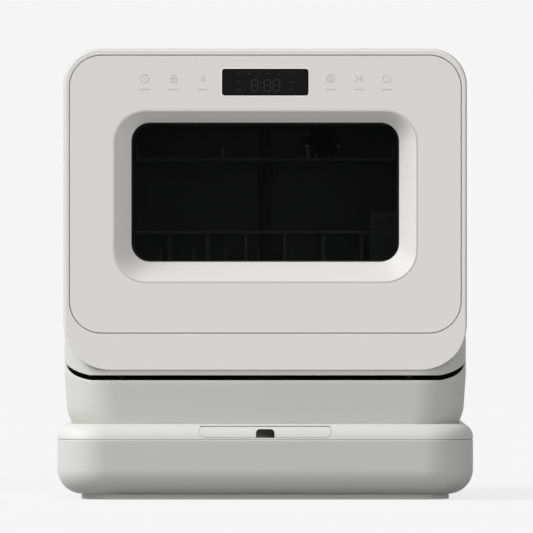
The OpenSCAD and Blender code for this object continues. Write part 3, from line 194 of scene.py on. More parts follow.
# Every other finish, in millimetres: tones are two close colours and their patch, uneven is a low and a
# high roughness and their patch, and grain is a size, a height and how it is stretched. Real grains of
# about a tenth of a millimetre are drawn half to one millimetre wide, as they would not show otherwise.
satin = {"uneven": (0.46, 0.54, 30), "grain": (0.8, 0.012), "specular": 0.2}
displayInk = {"roughness": 0.5, "specular": 0.05}
finishSettings = {
    # body mouldings: ABS with the face's satin, a shade darker than the face's front, which is lighter only
    # as painted light
    "grey": {"name": "mouldedGreyAbs", "tones": ("b5b5b2", "b2b2af", 80), **satin},
    # window surround: the body's ABS given a lighter tone, painted light that lifts its shaded funnel
    "surround": {"name": "mouldedSurroundAbs", "tones": ("c8c7c4", "c5c4c1", 80), **satin},
    # pedestal cover and lid: the body's ABS a little lighter, painted light that lifts the front slope
    "cover": {"name": "mouldedCoverAbs", "tones": ("b8b8b5", "b6b6b3", 80), **satin},
    # plinth: the body's ABS much lighter, painted light where it sits in the shade under the tub
    "plinth": {"name": "mouldedPlinthAbs", "tones": ("dad9d6", "d7d6d3", 80), **satin},
    # cabinet: steel sheet, powder coated, with its faint orange peel
    "cabinet": {"name": "powderCoatedSteel", "tones": ("b2b2af", "afafac", 90), "roughness": 0.6,
                "grain": (1.6, 0.02), "specular": 0.25},
    # window: toughened glass, tinted dark and hardly reflecting; the inner one is clear
    "pane": {"name": "tintedGlass", "tones": ("030303", "050505", 120), "roughness": 0.08, "specular": 0.03,
             "alpha": 0.54},
    "innerPane": {"name": "clearInnerGlass", "tones": ("3a4042", "363c3e", 120), "roughness": 0.05,
                  "specular": 0.06, "alpha": 0.05},
    # display window: acrylic, polished black
    "lens": {"name": "blackAcrylic", "tones": ("050505", "070707", 30), "roughness": 0.15,
             "specular": 0.08},
    # tub and rails: stainless steel, brushed front to back, its tones darkened as painted shade for the
    # shaded inside of the closed tub
    "stainless": {"name": "brushedStainless", "tones": ("616365", "5b5d5f", 50), "uneven": (0.32, 0.44, 12),
                  "grain": (0.5, 0.01, (1, 0.04, 1)), "metallic": 1.0},
    # hinge parts: steel, zinc plated, slightly blotchy
    "zinc": {"name": "zincPlatedSteel", "tones": ("b0b3b4", "9c9fa2", 7), "uneven": (0.3, 0.48, 4),
             "metallic": 1.0},
    # springs and screws: steel wire, drawn bright
    "steel": {"name": "brightSteel", "tones": ("bfc0c2", "aeb0b2", 4), "roughness": 0.25, "metallic": 1.0},
    # rack: steel wire dipped in grey nylon, a little lumpy
    "nylon": {"name": "nylonCoating", "tones": ("b0b3b5", "a7aaac", 12), "roughness": 0.42,
              "grain": (0.9, 0.02)},
    # spray arms, basket, wheels: moulded polypropylene, waxy
    "polypropylene": {"name": "greyPolypropylene", "tones": ("9ea1a3", "94979a", 25), "roughness": 0.46,
                      "grain": (1.1, 0.015)},
    # pumps, sump, fan: glass-filled polypropylene, black and dull
    "black": {"name": "blackPolypropylene", "tones": ("2e2f31", "27282a", 18), "roughness": 0.5,
              "grain": (0.7, 0.02)},
    # inner door: white ABS with a soft gloss
    "liner": {"name": "whiteLinerAbs", "tones": ("c4c5c5", "c0c1c1", 70), "uneven": (0.4, 0.46, 20),
              "specular": 0.25},
    # tank: blow-moulded polyethylene, milky
    "milky": {"name": "milkyPolyethylene", "tones": ("dfe4e5", "d6dcdd", 30), "roughness": 0.4},
    # feet and seal: moulded silicone, matt
    "rubber": {"name": "siliconeRubber", "tones": ("4d4e4f", "444546", 15), "roughness": 0.7,
               "grain": (0.6, 0.02)},
    # circuit board: glass-epoxy under green lacquer
    "board": {"name": "greenLacquer", "tones": ("1f5f38", "1a5230", 9), "roughness": 0.3},
    # marks: pad-printed ink, matt; the display's are dimmer, and its rim is a pale line, a painted
    # highlight on the rounded edge of the lens's hole
    "ink": {"name": "greyInk", "tones": ("b0aeac", "abaaa8", 5), "roughness": 0.65},
    "screen": {"name": "displayScreen", "tones": ("101011", "121213", 8), **displayInk},
    "segments": {"name": "displaySegments", "tones": ("2b2b2c", "2e2e2f", 8), **displayInk},
    "rim": {"name": "displayRim", "tones": ("efedea", "ebe9e6", 8), **displayInk},
}


def makeFinish(settings):
    material, tree, shader, place = newMaterial(settings)
    tree.links.new(wander(tree, place, *settings["tones"]), shader.inputs["Base Color"])
    if "grain" in settings:
        grain(tree, place, shader, *settings["grain"])
    if "uneven" in settings:
        uneven(tree, place, shader, *settings["uneven"])
    return material


finish = {key: makeFinish(settings) for key, settings in finishSettings.items()}
finish["face"] = makeFaceFinish(faceSettings)
print("materials made")



def sides(*names):
    return [name + "_" + side for name in names for side in ("left", "right")]


# what each CAD node that only gets a dressed copy is made of
nodeFinish = {
    "face": ["door_frame", "door_panel"],
    "cover": ["inlet_lid"],
    "grey": ["base_tub", "door_lower_cap", "filler_neck"],
    "plinth": ["plinth"],
    "cabinet": ["cabinet_wrap", "back_cover"],
    "pane": ["window_glass"],
    "innerPane": ["inner_glass"],
    "lens": ["display_lens"],
    "stainless": ["wash_tub", *sides("rack_rail"), "heater"],
    "zinc": [*sides("hinge_bracket", "hinge_arm"), "latch_hook", "latch_catch"],
    "steel": sides("door_spring"),
    "polypropylene": ["lower_spray_arm", "upper_spray_arm", "spray_pipe", "shelf_hooks", "cutlery_basket",
                      *sides("rack_wheel_front", "rack_wheel_rear"), "filter_plate", "filter_cup"],
    "black": ["fan_housing", "fan_rotor", "wash_pump", "drain_pump", "feed_pump", "cord_gland",
              "drain_spigot", "sump"],
    "liner": ["door_liner", "dispenser_body", "dispenser_shutter", "pump_impeller"],
    "milky": ["water_tank"],
    "rubber": ["rubber_feet", "door_seal"],
    "board": ["control_board"],
}


def newPiece(name, mesh, material, body):
    piece = bpy.data.objects.new(name, mesh)
    scene.collection.objects.link(piece)
    mesh.materials.clear()
    mesh.materials.append(material)
    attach(piece, body)
    return piece


# A piece shown in a CAD node's place, on the node's body
def standIn(name, mesh, material, node):
    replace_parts(newPiece(name, mesh, material, cadNodes[node]["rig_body"]), node)


edgeSettings = {"edge": 2.6 * mm, "kept": 0.2 * mm, "corner": 48 * mm, "fade": 26 * mm, "slack": 0.02 * mm}


# The face's rounded front edge, drawn in to a tight one along the bottom and round its corners
def tightenLowerEdge(work):
    edge, r, slack = (edgeSettings[key] for key in ("edge", "corner", "slack"))
    middleX, middleZ = faceHigh.x - r, faceLow.z + r
    for v in work.verts:
        across, down, depth = abs(v.co.x) - middleX, middleZ - v.co.z, v.co.y - faceY
        reach = math.hypot(max(across, 0), down)
        inset = r - reach
        if down <= 0 or inset > edge + slack or inset < -slack or depth > edge + slack:
            continue
        keep = 1 - min(1, down / edgeSettings["fade"]) * (1 - edgeSettings["kept"] / edge)
        grow = (r - inset * keep) / reach
        if across > 0:
            v.co.x = math.copysign(middleX + across * grow, v.co.x)
        v.co.z = middleZ - down * grow
        v.co.y = faceY + depth * keep


seamSettings = {"cadTop": 62 * mm, "top": 63.1 * mm, "corner": 51 * mm, "round": 1.6 * mm, "wall": 4 * mm,
                "steps": 4, "slack": 0.05 * mm}


# Tub's upper edge: raised to the seam with the cover and rounded off on its outside
def roundTubEdge(work):
    g = seamSettings
    low, high = span("base_tub")
    middleY = (low.y + high.y) / 2

    def depthInside(v):
        x, y = high.x - abs(v.co.x), high.y - middleY - abs(v.co.y - middleY)
        if x < g["corner"] and y < g["corner"]:
            return g["corner"] - math.hypot(g["corner"] - x, g["corner"] - y)
        return min(x, y)

    rim = {v for v in work.verts if abs(v.co.z - g["cadTop"]) < g["slack"] and depthInside(v) < g["wall"]}
    for v in rim:
        v.co.z = g["top"]
    edges = [e for e in work.edges if all(v in rim and abs(depthInside(v)) < g["slack"] for v in e.verts)]
    bmesh.ops.bevel(work, geom=edges, offset=g["round"], segments=g["steps"], profile=0.5, affect="EDGES")


copySettings = {"merge": 0.002 * mm, "flat": 0.2, "sharp": 32}


# A bmesh to work on, written back to its mesh at the end
@contextmanager
def editing(mesh):
    work = bmesh.new()
    work.from_mesh(mesh)
    yield work
    work.to_mesh(mesh)
    work.free()


def shadeSmooth(mesh, angle):
    mesh.polygons.foreach_set("use_smooth", [True] * len(mesh.polygons))
    mesh.set_sharp_from_angle(angle=math.radians(angle))
    return mesh


# What an object's modifiers make of it, as a plain mesh
def evaluatedMesh(thing):
    bpy.context.view_layer.update()
    evaluated = thing.evaluated_get(bpy.context.evaluated_depsgraph_get())
    return bpy.data.meshes.new_from_object(evaluated)


# A merged copy of a CAD node with its flat faces made whole, shaded smooth up to an angle
def smoothCopy(node, material, reshape):
    mesh = cadNodes[node].data.copy()
    mesh.name = node + "_shell"
    with editing(mesh) as work:
        bmesh.ops.remove_doubles(work, verts=work.verts, dist=copySettings["merge"])
        bmesh.ops.dissolve_degenerate(work, edges=work.edges, dist=copySettings["merge"])
        bmesh.ops.dissolve_limit(work, angle_limit=math.radians(copySettings["flat"]), verts=work.verts,
                                 edges=work.edges)
        if reshape:
            reshape(work)
    shadeSmooth(mesh, copySettings["sharp"]).update()
    carrier = bpy.data.objects.new(node + "_carrier", mesh)
    scene.collection.objects.link(carrier)
    weighted = carrier.modifiers.new("weighted", "WEIGHTED_NORMAL")
    weighted.keep_sharp = True
    weighted.weight = 100
    settled = evaluatedMesh(carrier)
    bpy.data.objects.remove(carrier)
    standIn(node + "_shell", settled, material, node)


reshaped = {"door_frame": tightenLowerEdge, "base_tub": roundTubEdge}
for key, names in nodeFinish.items():
    for name in names:
        smoothCopy(name, finish[key], reshaped.get(name))
print("frame pieces dressed")


socketKinds = {float: "NodeSocketFloat", int: "NodeSocketInt", type(None): "NodeSocketObject"}


# Starts a Geometry Nodes tree whose named inputs have these first values, of the same kind
def startTree(name, inputs):
    tree = bpy.data.node_groups.new(name, "GeometryNodeTree")
    tree.interface.new_socket("Geometry", in_out="INPUT", socket_type="NodeSocketGeometry")
    for label, value in inputs.items():
        socket = tree.interface.new_socket(label, in_out="INPUT", socket_type=socketKinds[type(value)])
        if value is not None:
            socket.default_value = value
    tree.interface.new_socket("Geometry", in_out="OUTPUT", socket_type="NodeSocketGeometry")
    return tree, addNode(tree, "NodeGroupInput").outputs


# Every tree ends the same way: real geometry, smooth or flat faces, and its material
def endTree(tree, source, material, smooth=True):
    solid = addNode(tree, "GeometryNodeRealizeInstances", links={"Geometry": source})
    shaded = addNode(tree, "GeometryNodeSetShadeSmooth", {"Shade Smooth": smooth},
                     {"Geometry": solid.outputs[0]})
    named = addNode(tree, "GeometryNodeSetMaterial", {"Material": material},
                    {"Geometry": shaded.outputs[0]})
    addNode(tree, "NodeGroupOutput", links={0: named.outputs[0]})


# Runs a tree on a start mesh and keeps the result as a plain mesh
def runTree(name, startMesh, tree, values, sharp=40):
    carrier = bpy.data.objects.new(name, startMesh)
    scene.collection.objects.link(carrier)
    modifier = carrier.modifiers.new("nodes", "NODES")
    modifier.node_group = tree
    for item in tree.interface.items_tree:
        if item.item_type == "SOCKET" and item.in_out == "INPUT" and item.name in values:
            modifier[item.identifier] = values[item.name]
    carrier.update_tag()
    mesh = evaluatedMesh(carrier)
    carrier.modifiers.remove(modifier)
    bpy.data.objects.remove(carrier)
    with editing(mesh) as work:
        bmesh.ops.remove_doubles(work, verts=work.verts, dist=0.005 * mm)
        bmesh.ops.recalc_face_normals(work, faces=work.faces)
    mesh.set_sharp_from_angle(angle=math.radians(sharp))
    return mesh


# Mesh of loose edges through lists of points in millimetres, the start of a wire piece
def pathMesh(name, paths):
    mesh = bpy.data.meshes.new(name)
    points, edges = [], []
    for path, closed in paths:
        first = len(points)
        points += [tuple(v * mm for v in p) for p in path]
        edges += [(first + i, first + i + 1) for i in range(len(path) - 1)]
        if closed:
            edges.append((len(points) - 1, first))
    mesh.from_pydata(points, edges, [])
    return mesh


# Wire bent along paths: each corner is rounded, each end is closed
def bentWire(material):
    tree, given = startTree("bentWire", {"Wire Radius": 1.6 * mm, "Bend Radius": 6 * mm, "Bend Steps": 5,
                                         "Sides": 10})
    curve = addNode(tree, "GeometryNodeMeshToCurve", links={"Mesh": given["Geometry"]})
    bent = addNode(tree, "GeometryNodeFilletCurve", {"mode": "POLY", "Limit Radius": True},
                   {"Curve": curve.outputs[0], "Count": given["Bend Steps"],
                    "Radius": given["Bend Radius"]})
    profile = addNode(tree, "GeometryNodeCurvePrimitiveCircle",
                      links={"Resolution": given["Sides"], "Radius": given["Wire Radius"]})
    wire = addNode(tree, "GeometryNodeCurveToMesh", {"Fill Caps": True},
                   {"Curve": bent.outputs[0], "Profile Curve": profile.outputs[0]})
    endTree(tree, wire.outputs[0], material)
    return tree


# A small shape set on every point of the start mesh, each turned about Y by its own random angle
def setOnPoints(material):
    tree, given = startTree("setOnPoints", {"Piece": None, "Most Turn": 0.0, "Seed": 7})
    points = addNode(tree, "GeometryNodeMeshToPoints", links={"Mesh": given["Geometry"]})
    info = addNode(tree, "GeometryNodeObjectInfo", links={"Object": given["Piece"]})
    most = addNode(tree, "ShaderNodeCombineXYZ", links={"Y": given["Most Turn"]})
    turn = addNode(tree, "FunctionNodeRandomValue", {"data_type": "FLOAT_VECTOR", "Min": (0, 0, 0)},
                   {"Max": most.outputs[0], "Seed": given["Seed"]})
    placed = addNode(tree, "GeometryNodeInstanceOnPoints",
                     links={"Points": points.outputs[0], "Instance": info.outputs["Geometry"],
                            "Rotation": turn.outputs[0]})
    endTree(tree, placed.outputs[0], material)
    return tree


# Sets one template on many points and keeps the result as a plain mesh
def spread(name, template, points, material, values):
    piece = bpy.data.objects.new(template.name, template)
    scene.collection.objects.link(piece)
    start = bpy.data.meshes.new(name + "_points")
    start.from_pydata(points, [], [])
    mesh = runTree(name, start, setOnPoints(material), {"Piece": piece, **values})
    bpy.data.objects.remove(piece)
    return mesh


# Points along an arc, its angles in degrees
def arc(x, z, radius, start, end, steps):
    angles = [math.radians(start + (end - start) * k / steps) for k in range(steps + 1)]
    return [(x + radius * math.cos(a), z + radius * math.sin(a)) for a in angles]


# Rounded rectangle as points, counter-clockwise seen from the front; each corner has the same count
def roundedLoop(halfWidth, low, high, radius, steps=10):
    points = []
    corners = [(halfWidth - radius, low + radius, -90), (halfWidth - radius, high - radius, 0),
               (-halfWidth + radius, high - radius, 90), (-halfWidth + radius, low + radius, 180)]
    for x, z, start in corners:
        points += arc(x, z, radius, start, start + 90, steps)
    return points


# Rounded plan from the front's middle round to it again: (x, y, outward x, outward y) for each point
def planLoop(halfWidth, front, back, frontRadius, rearRadius, breaks=()):
    steps = 16
    right = [(0, front, 0, -1)]
    for a in sorted([90 * k / steps for k in range(steps + 1)] + list(breaks)):
        s, c = math.sin(math.radians(a)), math.cos(math.radians(a))
        right.append((halfWidth - frontRadius + frontRadius * s, front + frontRadius * (1 - c), s, -c))
    sideStart, sideEnd = front + frontRadius, back - rearRadius
    for k in (1, 2, 3):
        right.append((halfWidth, sideStart + (sideEnd - sideStart) * k / 4, 1, 0))
    for k in range(steps // 2 + 1):
        a = math.radians(180 * k / steps)
        s, c = math.sin(a), math.cos(a)
        right.append((halfWidth - rearRadius + rearRadius * c, sideEnd + rearRadius * s, c, s))
    right.append((0, back, 0, 1))
    return right + [(-x, y, -nx, ny) for x, y, nx, ny in reversed(right[1:-1])]


# Skin through rings of (x, y, z) points. The two end rings get flat caps, or are joined, or are the same
# ring already (merged).
def skinMesh(name, rings, ends="capped"):
    mesh = bpy.data.meshes.new(name)
    with editing(mesh) as work:
        rows = [[work.verts.new(p) for p in ring] for ring in rings]
        for first, second in zip(rows, rows[1:] + (rows[:1] if ends == "joined" else [])):
            for i in range(len(first)):
                j = (i + 1) % len(first)
                work.faces.new((first[i], first[j], second[j], second[i]))
        if ends == "capped":
            work.faces.new(rows[0])
            work.faces.new(rows[-1])
        if ends != "joined":
            bmesh.ops.remove_doubles(work, verts=work.verts, dist=copySettings["merge"])
        bmesh.ops.recalc_face_normals(work, faces=work.faces)
    return mesh


# The same for loops of (x, z) points, each with its own depth, the last joined to the first
def loftMesh(name, rings):
    return skinMesh(name, [[(x, y, z) for x, z in loop] for loop, y in rings], "joined")


def joinMeshes(name, meshes):
    whole = bpy.data.meshes.new(name)
    with editing(whole) as work:
        for mesh in meshes:
            work.from_mesh(mesh)
    return whole


housingSettings = {"wall": 1.8 * mm, "floor": 3 * mm, "frontRadius": 52 * mm, "rearRadius": 12 * mm,
                   "kneeZ": 101 * mm, "kneeIn": 1.9 * mm, "footRadius": 40 * mm, "taperTop": 129.9 * mm,
                   "rimZ": 124.6 * mm, "rimLevel": 6.2 * mm, "rimSlope": 0.29, "rimCurve": 3.5,
                   "stepAngle": 88.9, "stepWidth": 0.05, "edge": 0.7 * mm, "levels": 12, "insideLevels": 4,
                   "sillY": (-146 * mm, -140 * mm), "sillLow": 136 * mm, "sillTip": 1.5 * mm,
                   "bracketX": 150 * mm, "slotHalf": 3.5 * mm, "gusset": 14 * mm, "sharp": 35}


# Lower body: a tray whose corners lean in with its foot, its rim rising from the front to the sides
def makeHousing(g):
    low, high = span("lower_housing")
    halfWidth = high.x

    def widthAt(z):
        knee = halfWidth - g["kneeIn"]
        if z >= g["kneeZ"]:
            return knee + g["kneeIn"] * min(1, (z - g["kneeZ"]) / (g["taperTop"] - g["kneeZ"]))
        r = g["footRadius"]
        return knee - r + math.sqrt(r * r - (g["kneeZ"] - z) ** 2)

    plan = planLoop(halfWidth, low.y, high.y, g["frontRadius"], g["rearRadius"],
                    (g["stepAngle"] - g["stepWidth"], g["stepAngle"]))
    stepY = low.y + g["frontRadius"] * (1 - math.cos(math.radians(g["stepAngle"])))
    cornerX = halfWidth - g["frontRadius"]

    def rimAt(y):
        if y > stepY - 0.01 * mm:
            return high.z
        back = max(0, y - low.y - g["rimLevel"])
        return g["rimZ"] + g["rimSlope"] * back + g["rimCurve"] * back * back

    def ring(share, inset, drop, base):
        points = []
        for x, y, nx, ny in plan:
            z = base + share * (rimAt(y) - drop - base)
            squeeze = halfWidth - widthAt(z)
            flat = abs(x) <= cornerX
            leant = x * (cornerX - squeeze) / cornerX if flat else x - math.copysign(squeeze, x)
            points.append((leant - nx * inset, y - ny * inset, z))
        return points

    edge, wall, count, inside = g["edge"], g["wall"], g["levels"], g["insideLevels"]
    rings = [ring(k / count, 0, edge, low.z) for k in range(count + 1)]
    rings += [ring(1, 0.3 * edge, 0.3 * edge, low.z), ring(1, edge, 0, low.z), ring(1, wall, 0, low.z)]
    rings += [ring(1 - k / inside, wall, 0, low.z + g["floor"]) for k in range(1, inside + 1)]
    # the sill under the door's opening, in three lengths between the slots of the hinge arms
    innerEnd, outerEnd = g["bracketX"] - g["slotHalf"], g["bracketX"] + g["slotHalf"]
    outer, base, crown = halfWidth - wall / 2, g["sillLow"], high.z
    middleSill = [(-innerEnd, base), (innerEnd, base), (innerEnd, crown), (-innerEnd, crown)]
    endSill = [(outerEnd, base), (outer - g["gusset"], base), (outer, crown - g["sillTip"]), (outer, crown),
               (outerEnd, crown)]
    sills = [skinMesh("sill", [[(x, y, z) for x, z in shape] for y in g["sillY"]])
             for shape in (middleSill, endSill, [(-x, z) for x, z in endSill])]
    mesh = shadeSmooth(joinMeshes("lower_housing_tray", [skinMesh("tray", rings)] + sills), g["sharp"])
    standIn("lower_housing_tray", mesh, finish["grey"], "lower_housing")


makeHousing(housingSettings)

# in millimetres; the profile is shares of the head's radius and height, from its seat to its crown
screwSettings = {"headRadius": 3.6, "headHeight": 1.8, "shank": 1.7, "length": 9, "middleRise": 11,
                 "armLength": 1.75, "armHalf": 0.34, "pitDepth": 1.1, "pitScale": 0.8,
                 "profile": ((1, 0), (1, 0.35), (0.94, 0.62), (0.8, 0.85), (0.62, 1)),
                 "between": (16, 25, 45, 65, 74)}


# One pan-head screw with a cross recess, pointing into the back, about its own axis along +Y
def screwTemplate(g):
    half, reach = g["armHalf"], g["armLength"]
    tip = math.degrees(math.atan2(half, reach))
    angles = [math.radians(90 * k + a) for k in range(4) for a in (0, tip, *g["between"], 90 - tip)]

    def ring(radius, y):
        return [(radius * mm * math.cos(a), y * mm, radius * mm * math.sin(a)) for a in angles]

    def cross(scale, y):
        points = []
        for a in angles:
            c, n = max(abs(math.cos(a)), 1e-6), max(abs(math.sin(a)), 1e-6)
            r = scale * mm * max(min(reach / c, half / n), min(reach / n, half / c))
            points.append((r * math.cos(a), y * mm, r * math.sin(a)))
        return points

    h, shank, length = g["headHeight"], g["shank"], g["length"]
    head = [ring(wide * g["headRadius"], high * h) for wide, high in g["profile"]]
    head += [cross(1, h), cross(g["pitScale"], h - g["pitDepth"])]
    shaft = [ring(shank, 0.5), ring(shank, 1 - length), ring(0.3 * shank, -length)]
    return joinMeshes("screw_template", [skinMesh("screw_part", rings) for rings in (head, shaft)])


def makeScrews(settings):
    low, high = span("screws")
    headY, r = high.y - settings["headHeight"] * mm, settings["headRadius"] * mm
    xs = (low.x + r, high.x - r)
    bottom, topmost = low.z + r, high.z - r
    middle = (bottom + topmost) / 2 + settings["middleRise"] * mm
    points = [(x, headY, z) for x in xs for z in (bottom, middle, topmost)]
    mesh = spread("back_screws", screwTemplate(settings), points, finish["steel"], {"Most Turn": math.tau})
    standIn("back_screws", mesh, finish["steel"], "screws")


makeScrews(screwSettings)

# the capitalised ones are the node tree's inputs
connectorSettings = {"Pitch": 1.8 * mm, "Turns": 3.5, "Ridge": 1.1 * mm, "start": 3.6 * mm,
                     "lead": 1.3 * mm, "flangeStep": 3 * mm, "flange": 2 * mm, "bore": 5 * mm,
                     "inset": 0.75 * mm, "undercut": 0.4 * mm, "chamfer": 0.5 * mm, "sink": 0.02 * mm,
                     "sides": 48}


# A ridge wound round Z as a helix of the given pitch and radius
def windThread(material):
    tree, given = startTree("windThread", {"Radius": 10 * mm, "Pitch": 2 * mm, "Turns": 5.0,
                                           "Ridge": 1 * mm})
    rise = addNode(tree, "ShaderNodeMath", {"operation": "MULTIPLY"},
                   {0: given["Pitch"], 1: given["Turns"]})
    helix = addNode(tree, "GeometryNodeCurveSpiral", {"Resolution": 40},
                    {"Rotations": given["Turns"], "Start Radius": given["Radius"],
                     "End Radius": given["Radius"], "Height": rise.outputs[0]})
    profile = addNode(tree, "GeometryNodeCurvePrimitiveCircle", {"Resolution": 4},
                      {"Radius": given["Ridge"]})
    ridge = addNode(tree, "GeometryNodeCurveToMesh", {"Fill Caps": True},
                    {"Curve": helix.outputs[0], "Profile Curve": profile.outputs[0]})
    endTree(tree, ridge.outputs[0], material, False)
    return tree


# Inlet connector: a flanged pipe whose screwed end carries a real thread
def makeConnector(g):
    low, high = span("inlet_connector")
    middle = (low + high) / 2
    flangeRadius = (high.x - low.x) / 2
    outer = flangeRadius - g["flangeStep"]
    bore, core = outer - g["bore"], outer - g["inset"]
    flangeY, screwY = low.y + g["flange"], low.y + g["start"]
    outline = [(bore, low.y), (flangeRadius, low.y), (flangeRadius, flangeY), (outer, flangeY),
               (outer, screwY - g["undercut"]), (core, screwY), (core, high.y - g["chamfer"]),
               (core - g["chamfer"], high.y), (bore, high.y), (bore, low.y)]
    angles = [math.radians(360 / g["sides"] * k) for k in range(g["sides"])]
    rings = [[(middle.x + r * math.cos(a), y, middle.z + r * math.sin(a)) for a in angles]
             for r, y in outline]
    pipe = skinMesh("connector_pipe", rings, "merged")

    start = bpy.data.meshes.new("thread_start")
    start.from_pydata([(0, 0, 0)], [], [])
    values = {name: g[name] for name in ("Pitch", "Turns", "Ridge")}
    values["Radius"] = outer - g["Ridge"] - g["sink"]
    thread = runTree("connector_thread", start, windThread(finish["black"]), values, 25)
    for v in thread.vertices:
        x, y, z = v.co
        v.co = (middle.x + x, screwY + g["lead"] + z, middle.z - y)
    mesh = shadeSmooth(joinMeshes("inlet_connector_pipe", [pipe, thread]), 30)
    standIn("inlet_connector_pipe", mesh, finish["black"], "inlet_connector")


makeConnector(connectorSettings)
print("screws and connector made")

coverSettings = {"wall": 2.4 * mm, "corner": 51 * mm, "sideRound": 13.5 * mm, "slopeRound": 19.8 * mm,
                 "levels": 14, "seamTop": 63.4 * mm, "leastSide": 0.4 * mm, "lidWidth": 137 * mm,
                 "lidAngle": 45, "lidMid": 41, "lidGap": 0.35 * mm, "cutFrom": 2 * mm, "cutPast": 5 * mm,
                 "turnRadius": 2.44 * mm, "turnGap": 2.15 * mm, "turnSides": 24, "pinDepth": 1.2 * mm,
                 "sharp": 30}


# One mesh cut from another, or what the two share
def combine(target, cutter, operation):
    pair = [bpy.data.objects.new("cut", mesh) for mesh in (target, cutter)]
    for item in pair:
        scene.collection.objects.link(item)
    modifier = pair[0].modifiers.new("cut", "BOOLEAN")
    modifier.operation, modifier.object, modifier.solver = operation, pair[1], "EXACT"
    result = evaluatedMesh(pair[0])
    for item in pair:
        bpy.data.objects.remove(item)
    return result


# Pedestal cover: side round and front slope run into each other round the corner; the lid's seat is cut out
def makeCover(g):
    low, high = span("base_cover")
    seam = g["seamTop"]
    plan = planLoop(high.x, low.y, high.y, g["corner"], g["corner"])

    def ring(level, inset):
        points = []
        topZ = high.z - inset
        for x, y, nx, ny in plan:
            ahead = max(0, -ny)
            ahead = ahead * ahead * (3 - 2 * ahead)
            r = g["sideRound"] + (g["slopeRound"] - g["sideRound"]) * ahead - inset
            startZ = max(topZ - r, seam + g["leastSide"])
            if level == 0:
                z = seam
            else:
                first = math.asin(max(0, 1 - (topZ - startZ) / r))
                angle = first + (math.pi / 2 - first) * (level - 1) / (g["levels"] - 1)
                z = topZ - r * (1 - math.sin(angle))
            rise = max(0, min(1, 1 - (topZ - z) / r))
            away = inset + r * (1 - math.sqrt(1 - rise * rise))
            points.append((x - nx * away, y - ny * away, z))
        return points

    levels = g["levels"]
    rings = [ring(k, g["wall"]) for k in range(levels, -1, -1)] + [ring(k, 0) for k in range(levels + 1)]
    mesh = skinMesh("base_cover_shell", rings)

    slopeY, slopeZ = low.y + g["slopeRound"], high.z - g["slopeRound"]
    lift, halfAngle, halfLid = math.radians(g["lidMid"]), math.radians(g["lidAngle"] / 2), g["lidWidth"] / 2
    up, out = math.sin(lift), math.cos(lift)
    capRadius = g["slopeRound"] * math.sin(halfAngle)
    straight = halfLid - capRadius

    # the lid's outline as a solid through the slope, u along the lid, v across it and d out of it
    def stadium(name, grow):
        r = capRadius + grow
        flat = arc(straight, 0, r, -90, 90, 20) + arc(-straight, 0, r, 90, 270, 20)
        return skinMesh(name, [[(u, slopeY + v * up - d * out, slopeZ + v * out + d * up) for u, v in flat]
                               for d in (g["cutFrom"], g["slopeRound"] + g["cutPast"])])

    # room for the lid's barrel, a little wider than it and no longer than the seat
    pinAngle = lift + halfAngle - g["pinDepth"] / g["slopeRound"]
    pinRadius = g["slopeRound"] - g["pinDepth"]
    pinY, pinZ = slopeY - pinRadius * math.cos(pinAngle), slopeZ + pinRadius * math.sin(pinAngle)
    turns = [math.radians(360 / g["turnSides"] * k) for k in range(g["turnSides"])]
    barrel = skinMesh("turn_room", [[(x, pinY + g["turnRadius"] * math.cos(a),
                                      pinZ + g["turnRadius"] * math.sin(a)) for a in turns]
                                    for x in (-halfLid, halfLid)])

    room = combine(barrel, stadium("turn_limit", g["turnGap"]), "INTERSECT")
    mesh = combine(combine(mesh, stadium("lid_seat", g["lidGap"]), "DIFFERENCE"), room, "DIFFERENCE")
    mesh.name = "base_cover_shell"
    standIn("base_cover_shell", shadeSmooth(mesh, g["sharp"]), finish["cover"], "base_cover")


makeCover(coverSettings)
print("lower body and pedestal cover made")

bezelSettings = {"rim": 1.2 * mm, "edge": 0.5 * mm, "soft": 0.15 * mm, "outerRadius": 34 * mm,
                 "innerRadius": 19.5 * mm, "glassMargin": 5 * mm, "lip": 0.24 * mm, "lipDepth": 1.2 * mm,
                 "flange": 6 * mm, "flangeFront": 5.5 * mm, "flangeBack": 8.5 * mm, "brow": 0.2 * mm,
                 "slope": (0.02, 0.97), "foot": 0.1 * mm, "undercut": 1 * mm, "sharp": 35}


# Window surround: a funnel with soft edges, a step behind it and a flange behind the door's wall
def makeBezel(g):
    flange, margin = g["flange"], g["glassMargin"]
    outer = (bezelHigh.x - flange, bezelLow.z + flange, bezelHigh.z - flange, g["outerRadius"])
    inner = (paneHigh.x - margin, paneLow.z + margin, paneHigh.z - margin, g["innerRadius"])
    front, back = bezelLow.y, bezelHigh.y
    rim, edge, lip, soft = g["rim"], g["edge"], g["lip"], g["soft"]

    def loop(shape, inset):
        halfWidth, low, high, radius = shape
        return roundedLoop(halfWidth - inset, low + inset, high - inset, radius - inset)

    def onSlope(share):
        points = [(a[0] + (b[0] - a[0]) * share, a[1] + (b[1] - a[1]) * share)
                  for a, b in zip(loop(outer, rim), loop(inner, 0))]
        return points, front + share * (back - front)

    rings = [(loop(inner, -g["undercut"]), back), (loop(outer, 0), back)]
    rings += [(loop(outer, inset), front + depth)
              for inset, depth in ((0, g["flangeBack"]), (-flange, g["flangeBack"]),
                                   (-flange, g["flangeFront"]), (0, g["flangeFront"]), (0, g["lipDepth"]),
                                   (-lip, g["lipDepth"]), (-lip, edge), (soft - lip, soft),
                                   (edge - lip, 0), (rim - g["brow"], 0))]
    rings += [onSlope(share) for share in g["slope"]]
    rings += [(loop(inner, 0), back - g["foot"]), (loop(inner, 0), back)]
    mesh = shadeSmooth(loftMesh("window_surround", rings), g["sharp"])
    standIn("window_surround", mesh, finish["surround"], "window_bezel")


makeBezel(bezelSettings)
print("window surround made")


